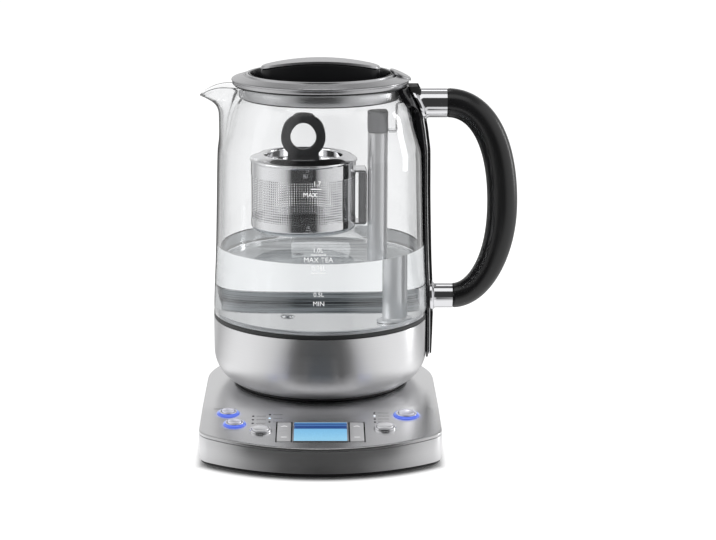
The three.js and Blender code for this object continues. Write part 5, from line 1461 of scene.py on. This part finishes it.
class TEAMAKER_OT_lid(bpy.types.Operator):
    """Lid: rim, seal, skirt, dish, arched grip bar with its plate and thumb tab"""
    bl_idname = "teamaker.lid"
    bl_label = "Make the Lid"

    def execute(self, context):
        low, top = RIM_BOTTOM, RIM_INNER
        face = [[x, top - 0.2 - (x - 50.3) * 0.31] for x in (60.2, 58.0, 55.5, 53.3)]
        foot = face[-1][1]
        rim = revolve([
            [RIM_EDGE, top - 2], [52.6, low], [60.2, low], [60.6, low + 0.2], [60.8, low + 0.6],
            [60.8, low + 2.3], [61.2, low + 2.6], [61.4, low + 3.0], [61.3, low + 3.4],
            [60.9, low + 3.7], *face, [52.9, foot - 0.5], [52.3, foot - 0.6], [51.9, foot - 0.1],
            [51.6, top - 0.2], [50.4, top], [49.8, top - 0.25], [RIM_EDGE, top - 0.6]], 200)
        piece("rim_skin", rim, "lid", "rim", ["lid_rim"])
        seal = revolve([[53.9, LIP + 0.3], [59.3, LIP + 0.3], [59.5, LIP + 0.5],
                        [59.5, LIP + 0.9], [59.3, LIP + 1.1], [53.9, LIP + 1.1]], 180)
        piece("lid_seal_skin", seal, "lid", "seal", ["lid_seal"])
        bulge = np.linspace(-1, 1, 14)
        barrel = np.stack([53.6 - 0.7 * bulge**2, LIP - 3.5 + 4.6 * bulge], axis=1)
        skirt = revolve(np.concatenate([
            [[51.6, LIP - 8.3], [52.2, LIP - 8.3]], barrel,
            [[52.2, LIP + 1.1], [52.2, LIP - 7.6], [51.6, LIP - 7.6]]]), 200)
        piece("skirt_skin", skirt, "lid", "skirt", ["lid_skirt"])
        underside = revolve([[0, LIP - 9], [52.4, LIP - 9], [52.9, LIP - 8.8], [52.9, LIP - 8.4],
                             [51.5, LIP - 8.1], [0, LIP - 8.1]])
        piece("lid_underside", underside, "lid", "satin")
        floor = DISH_FLOOR
        dish = revolve([
            [0, floor - 1.4], [45, floor - 1.4], [45, LIP - 7.7], [47, LIP - 7.7],
            [47, floor - 1.4], [49.3, floor - 1.4], [49.3, top - 0.25], [49.1, top],
            [48.6, top - 0.1], [48.3, top - 1.2], [47.7, floor + 0.5], [47.2, floor],
            [0, floor]], 180)
        piece("dish_skin", dish, "lid", "black", ["lid_dish"])

        # Bar: upright sides, a rounded edge and a top on the arch
        turn = np.linspace(0, math.pi / 2, 6)
        inset = 1 - BAR_EDGE / BAR_WIDTH * (1 - np.cos(turn))
        bar = arched(np.concatenate([[0, 1], inset, np.linspace(inset[-1], 0, 14)[1:]]),
                     bar_outline(0.0), 1.9)
        bar[..., 2] -= np.concatenate([[0, 0], BAR_EDGE * (1 - np.sin(turn)), [0] * 13])[:, None]
        bar[:2, :, 2] = floor + SEAM
        piece("grip_bar_skin", loft(bar, caps=False), "lid", "satin", ["lid_grip_bar"])
        # Plate: a sheet on the bar, from its underside over its edge to its top
        steps = np.linspace(0, 1, 14)
        scale = np.concatenate([steps, 1 - 0.02 * np.linspace(0, 1, 4)[1:], 0.98 * (1 - steps)[1:]])
        depth = np.concatenate([0 * steps + 1.6, [1.0, 0.4, 0.05], 0 * steps[1:]])
        plate = arched(scale, bar_outline(0.3), depth[:, None])
        piece("grip_plate_skin", loft(plate, caps=False), "lid", "grey_metal",
              ["lid_grip_plate"])

        k, h = (np.array(column)[:, None] for column in zip(
            (0, 0), (1, 0), (1, 1.1), (0.985, 1.5), (0.955, 1.75), (0.9, 1.93), (0.8, 2.0),
            (0, 2.0)))
        a = circle(96)
        x = TAB_X + TAB_REACH * k * np.cos(a)
        tab = loft(vectors(x, TAB_HALF * k * np.sin(a), rim_top(x) + SEAM + h), caps=False)
        piece("tab_skin", tab, "lid", "grey_metal", ["lid_tab"])
        return {"FINISHED"}


class TEAMAKER_OT_inner(bpy.types.Operator):
    """Finishes of the parts that stay hidden inside and keep their CAD shape"""
    bl_idname = "teamaker.inner"
    bl_label = "Finish the Inner Parts"

    def execute(self, context):
        inner = {"control_board": "board", "heating_element": "copper", "lift_motor": "dark",
                 "lead_screw": "polished", "magnet_nut": "dark", "jug_connector": "satin"}
        for node, finish in inner.items():
            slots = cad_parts[node].data.materials
            slots.clear()
            slots.append(Finishes.get(finish))
        return {"FINISHED"}


# Stage ---------------------------------------------------------------------------------------


# What reflections see round the object, by the angle from the front as a share of half a turn:
# dark behind the camera, rising to the bright sides and falling off to the back. The second list
# is the floor close to the object.
ROUND = [(0, 0.05), (0.14, 0.06), (0.18, 0.45), (0.22, 0.7), (0.31, 0.9), (0.44, 1.0),
         (0.54, 1.02), (0.63, 0.8), (0.72, 0.5), (0.82, 0.75), (1, 0.85)]
NEAR = [(0, 0.05), (0.06, 0.1), (0.11, 0.3), (0.15, 0.56), (0.19, 0.8), (0.25, 1.1), (0.55, 1.1),
        (0.75, 0.5), (1, 0.4)]
WHITE = (1.0, 1.0, 1.0, 1.0)
FLOOR_HEIGHT = -1.51
FLOOR_RADII = (0, 500, 1000, 2000, 4000, 8000)
CARD_RADIUS, CARD_HALF_ANGLE = 200.0, 62
CARD_HEIGHTS = (-1.0, 30.0, 65.0)

# Each lamp: place and target in metres, its two sizes and its share of the lamp power
LAMPS = {
    "softbox_left": ((-1.5, -0.5, 0.75), (0, 0, 0.12), (0.9, 1.3), 1.0),
    "softbox_right": ((1.5, -0.5, 0.75), (0, 0, 0.12), (0.9, 1.3), 1.0),
    "softbox_top": ((0, -0.78, 1.6), (0, -0.779, 0), (2.0, 1.0), 1.4),
    "softbox_strip": ((1.24, 0.4, 0.3), (0, 0, 0.15), (0.16, 0.7), 0.45),
    "softbox_rear": ((0, 0.75, 1.45), (0, 0, 0.24), (0.4, 0.35), 0.15),
}
NOT_REFLECTED = ("softbox_left", "softbox_right")

# The camera: place in metres, angle that it looks down in degrees, lens, film width and shift
CAMERA_PLACE = (0, -1.430, 0.4295)
CAMERA_DOWN = 12.86
LENS, FILM, SHIFT_X = 104.84, 36, 0.0524


def round_share(x, y):
    """Angle from the front about the Z axis as a share of half a turn: atan2(|x|, -y) / pi."""
    return abs(x).turn(-y) / math.pi


def ray_kinds(made):
    """Is the ray the camera's own, also through glass? Did it leave a shiny surface?"""
    camera, glossy, through_glass, depth = made.outputs(
        "ShaderNodeLightPath", "Is Camera Ray", "Is Glossy Ray", "Is Transmission Ray",
        "Glossy Depth")
    reflected = depth.least(1.0) * glossy.most(through_glass)
    return camera.most(through_glass), reflected


def backdrop_world():
    """White to the camera and through glass, a studio with a dark front, bright sides and a grey
    top to reflections, and a plain soft grey to everything else."""
    made = Finish("Studio", "worlds")
    seen, reflected = ray_kinds(made)
    x, y, z = made.axes()
    share = round_share(x, y)
    high = z.above(0.7, 0.06).most(z.above(0.55, 0.25) * share.above(0.72, 0.1))
    studio = made.by_stops(share, ROUND) * (1.0 - high) + high * 0.3
    plain = seen * (1.0 - look().soft_light) + look().soft_light
    level = plain * (1.0 - reflected) + studio * reflected
    made.done(made.node("ShaderNodeBackground", None, {"Color": WHITE, "Strength": level}))
    made.material.cycles.sampling_method = "NONE"
    return made.material


def floor_finish():
    """White floor: it shines by itself for the camera and through glass, and takes the shadow of the
    object from its matt share. Under the front of the base and just past its edge its own shine is
    taken away, a painted shade that deepens the contact shadow there. Reflections see a bright
    floor, and a dark middle close by."""
    made = Finish("studio_floor")
    seen, reflected = ray_kinds(made)
    x, y, _ = made.axes()
    cloud = made.noise(3.0, detail=1.0) * 0.02
    bow_y = (BASE_BOW - BASE_FRONT) * MM
    past_bow = (x * x + (y - bow_y) ** 2.0) ** 0.5 - BASE_BOW * MM
    past_base = (abs(x) - BASE_HALF * MM).most(past_bow)
    # Painted shade: no own shine under the front of the base and a few millimetres past its edge
    painted_shade_under_base = (1.0 - past_base.above(0.001, 0.005)) * (-y).above(0.07, 0.02)
    matt = made.node("ShaderNodeBsdfDiffuse", None, {"Color": (0.8, 0.8, 0.8, 1.0)})
    shine = seen * (1.0 - painted_shade_under_base) * look().floor_shine + cloud
    glow = made.node("ShaderNodeEmission", None, {"Color": WHITE, "Strength": shine})
    plain = made.node("ShaderNodeAddShader", None, [matt, glow])
    share = round_share(x, y)
    radius = (x * x + y * y) ** 0.5
    far, farther = radius.above(0.2, 0.01), radius.above(0.5, 0.04)
    distant = made.by_stops(share.most((1.0 - farther) * 0.3), ROUND)
    level = made.by_stops(share, NEAR) * (1.0 - far) + distant * far
    level = level * (1.0 - share.above(0.84, 0.08) * 0.85)
    studio = made.node("ShaderNodeEmission", None, {"Color": WHITE, "Strength": level})
    made.material.cycles.emission_sampling = "NONE"
    return made.done(made.node("ShaderNodeMixShader", None, [reflected, plain, studio]))


def flag_finish():
    """The low card round the front of the base: only reflections see it."""
    made = Finish("flag_card")
    _, reflected = ray_kinds(made)
    x, y, _ = made.axes()
    level = made.by_stops(round_share(x, y), ROUND)
    glow = made.node("ShaderNodeEmission", None, {"Color": WHITE, "Strength": level})
    open_air = made.node("ShaderNodeBsdfTransparent")
    made.material.cycles.emission_sampling = "NONE"
    return made.done(made.node("ShaderNodeMixShader", None, [reflected, open_air, glow]))


class TEAMAKER_OT_stage(bpy.types.Operator):
    """Floor, soft lamps, the low card round the front of the base that only reflections see, the
    world, and the camera
    """
    bl_idname = "teamaker.stage"
    bl_label = "Make the Stage"

    def execute(self, context):
        scene = context.scene
        r = np.array(FLOOR_RADII, float)
        a = circle(48)[:, None]
        floor = vectors(r * np.cos(a), r * np.sin(a), FLOOR_HEIGHT)
        piece("studio_floor", Surface().grid(floor, wrap_rows=True), None, floor_finish())

        turns = np.linspace(-90 - CARD_HALF_ANGLE, -90 + CARD_HALF_ANGLE, 50)
        a = np.radians(turns)[:, None]
        wall = vectors(CARD_RADIUS * np.cos(a), CARD_RADIUS * np.sin(a), np.array(CARD_HEIGHTS))
        card = piece("flag_card", Surface().grid(wall), None, flag_finish())
        for flag in ("camera", "diffuse", "shadow", "volume_scatter"):
            setattr(card, "visible_" + flag, False)

        for name, (place, target, size, share) in LAMPS.items():
            light = bpy.data.lights.new(name, "AREA")
            light.shape = "RECTANGLE"
            light.size, light.size_y = size
            light.energy = look().lamp_power * share
            box = bpy.data.objects.new(name, light)
            scene.collection.objects.link(box)
            x, y, z = np.array(target) - np.array(place)
            box.location = place
            box.rotation_euler = (math.atan2(math.hypot(x, y), -z), 0,
                                  math.atan2(y, x) - math.pi / 2)
            box.visible_glossy = name not in NOT_REFLECTED

        scene.world = backdrop_world()
        camera = bpy.data.cameras.new("camera")
        camera.lens = LENS
        camera.sensor_width = FILM
        camera.shift_x = SHIFT_X
        holder = bpy.data.objects.new("camera", camera)
        scene.collection.objects.link(holder)
        holder.location = CAMERA_PLACE
        holder.rotation_euler = (math.radians(90 - CAMERA_DOWN), 0, 0)
        scene.camera = holder
        scene.view_settings.view_transform = "Standard"
        return {"FINISHED"}


# Settings and panel --------------------------------------------------------------------------


def colour(name, description, default):
    return FloatVectorProperty(name=name, description=description, subtype="COLOR", size=3, min=0,
                               max=1, default=default)


def number(name, description, default, lowest=0.0, highest=100.0, unit="NONE"):
    return FloatProperty(name=name, description=description, default=default, min=lowest,
                         max=highest, unit=unit)


class TeaMakerLook(bpy.types.PropertyGroup):
    """Sizes, colours and light levels that a user may change"""
    steel: colour("Steel", "Colour of the brushed steel", (0.74, 0.74, 0.75))
    ring_light: colour("Ring Light", "Colour of the light rings", (0.03, 0.1, 0.8))
    display_front: colour("Display Front", "Display at its front", (0.36, 0.74, 0.98))
    display_rear: colour("Display Rear", "Display behind its middle", (0.16, 0.5, 0.88))
    glow: number("Glow", "Strength of the light rings", 0.6)
    water_level: number("Water Level", "Height of the water over the jug's foot",
                        0.098, 0.05, 0.14, "LENGTH")
    mesh_pitch: number("Mesh Pitch", "Distance between the wires of the basket",
                       0.0017, 0.0006, 0.003, "LENGTH")
    mesh_wire: number("Mesh Wire", "Width of the basket's flat wires",
                      0.0007, 0.0001, 0.002, "LENGTH")
    soft_light: number("Soft Light", "Strength of the world on matt surfaces", 0.75)
    floor_shine: number("Floor Shine", "Own light of the floor for the camera", 0.45)
    lamp_power: number("Lamp Power", "Power of each side lamp", 4.0, unit="POWER")


OPERATORS = [
    TEAMAKER_OT_base, TEAMAKER_OT_buttons, TEAMAKER_OT_display, TEAMAKER_OT_lights,
    TEAMAKER_OT_jug_foot, TEAMAKER_OT_glass, TEAMAKER_OT_marks, TEAMAKER_OT_water,
    TEAMAKER_OT_spine, TEAMAKER_OT_grip, TEAMAKER_OT_lift, TEAMAKER_OT_basket,
    TEAMAKER_OT_basket_cover, TEAMAKER_OT_lid, TEAMAKER_OT_inner, TEAMAKER_OT_stage,
]


class TEAMAKER_PT_panel(bpy.types.Panel):
    """Lists the settings and the steps that make the tea maker"""
    bl_label = "Tea Maker"
    bl_idname = "TEAMAKER_PT_panel"
    bl_space_type = "VIEW_3D"
    bl_region_type = "UI"
    bl_category = "Tea Maker"

    def draw(self, context):
        settings = context.scene.tea_maker
        for name in settings.bl_rna.properties.keys():
            if name not in ("rna_type", "name"):
                self.layout.prop(settings, name)
        for operator in OPERATORS:
            self.layout.operator(operator.bl_idname)


CLASSES = [TeaMakerLook, *OPERATORS, TEAMAKER_PT_panel]


def register():
    for cls in CLASSES:
        bpy.utils.register_class(cls)
    bpy.types.Scene.tea_maker = PointerProperty(type=TeaMakerLook)


def unregister():
    del bpy.types.Scene.tea_maker
    for cls in reversed(CLASSES):
        bpy.utils.unregister_class(cls)


def main():
    register()
    for operator in OPERATORS:
        group, step = operator.bl_idname.split(".")
        getattr(getattr(bpy.ops, group), step)()


if __name__ == "__main__":
    main()
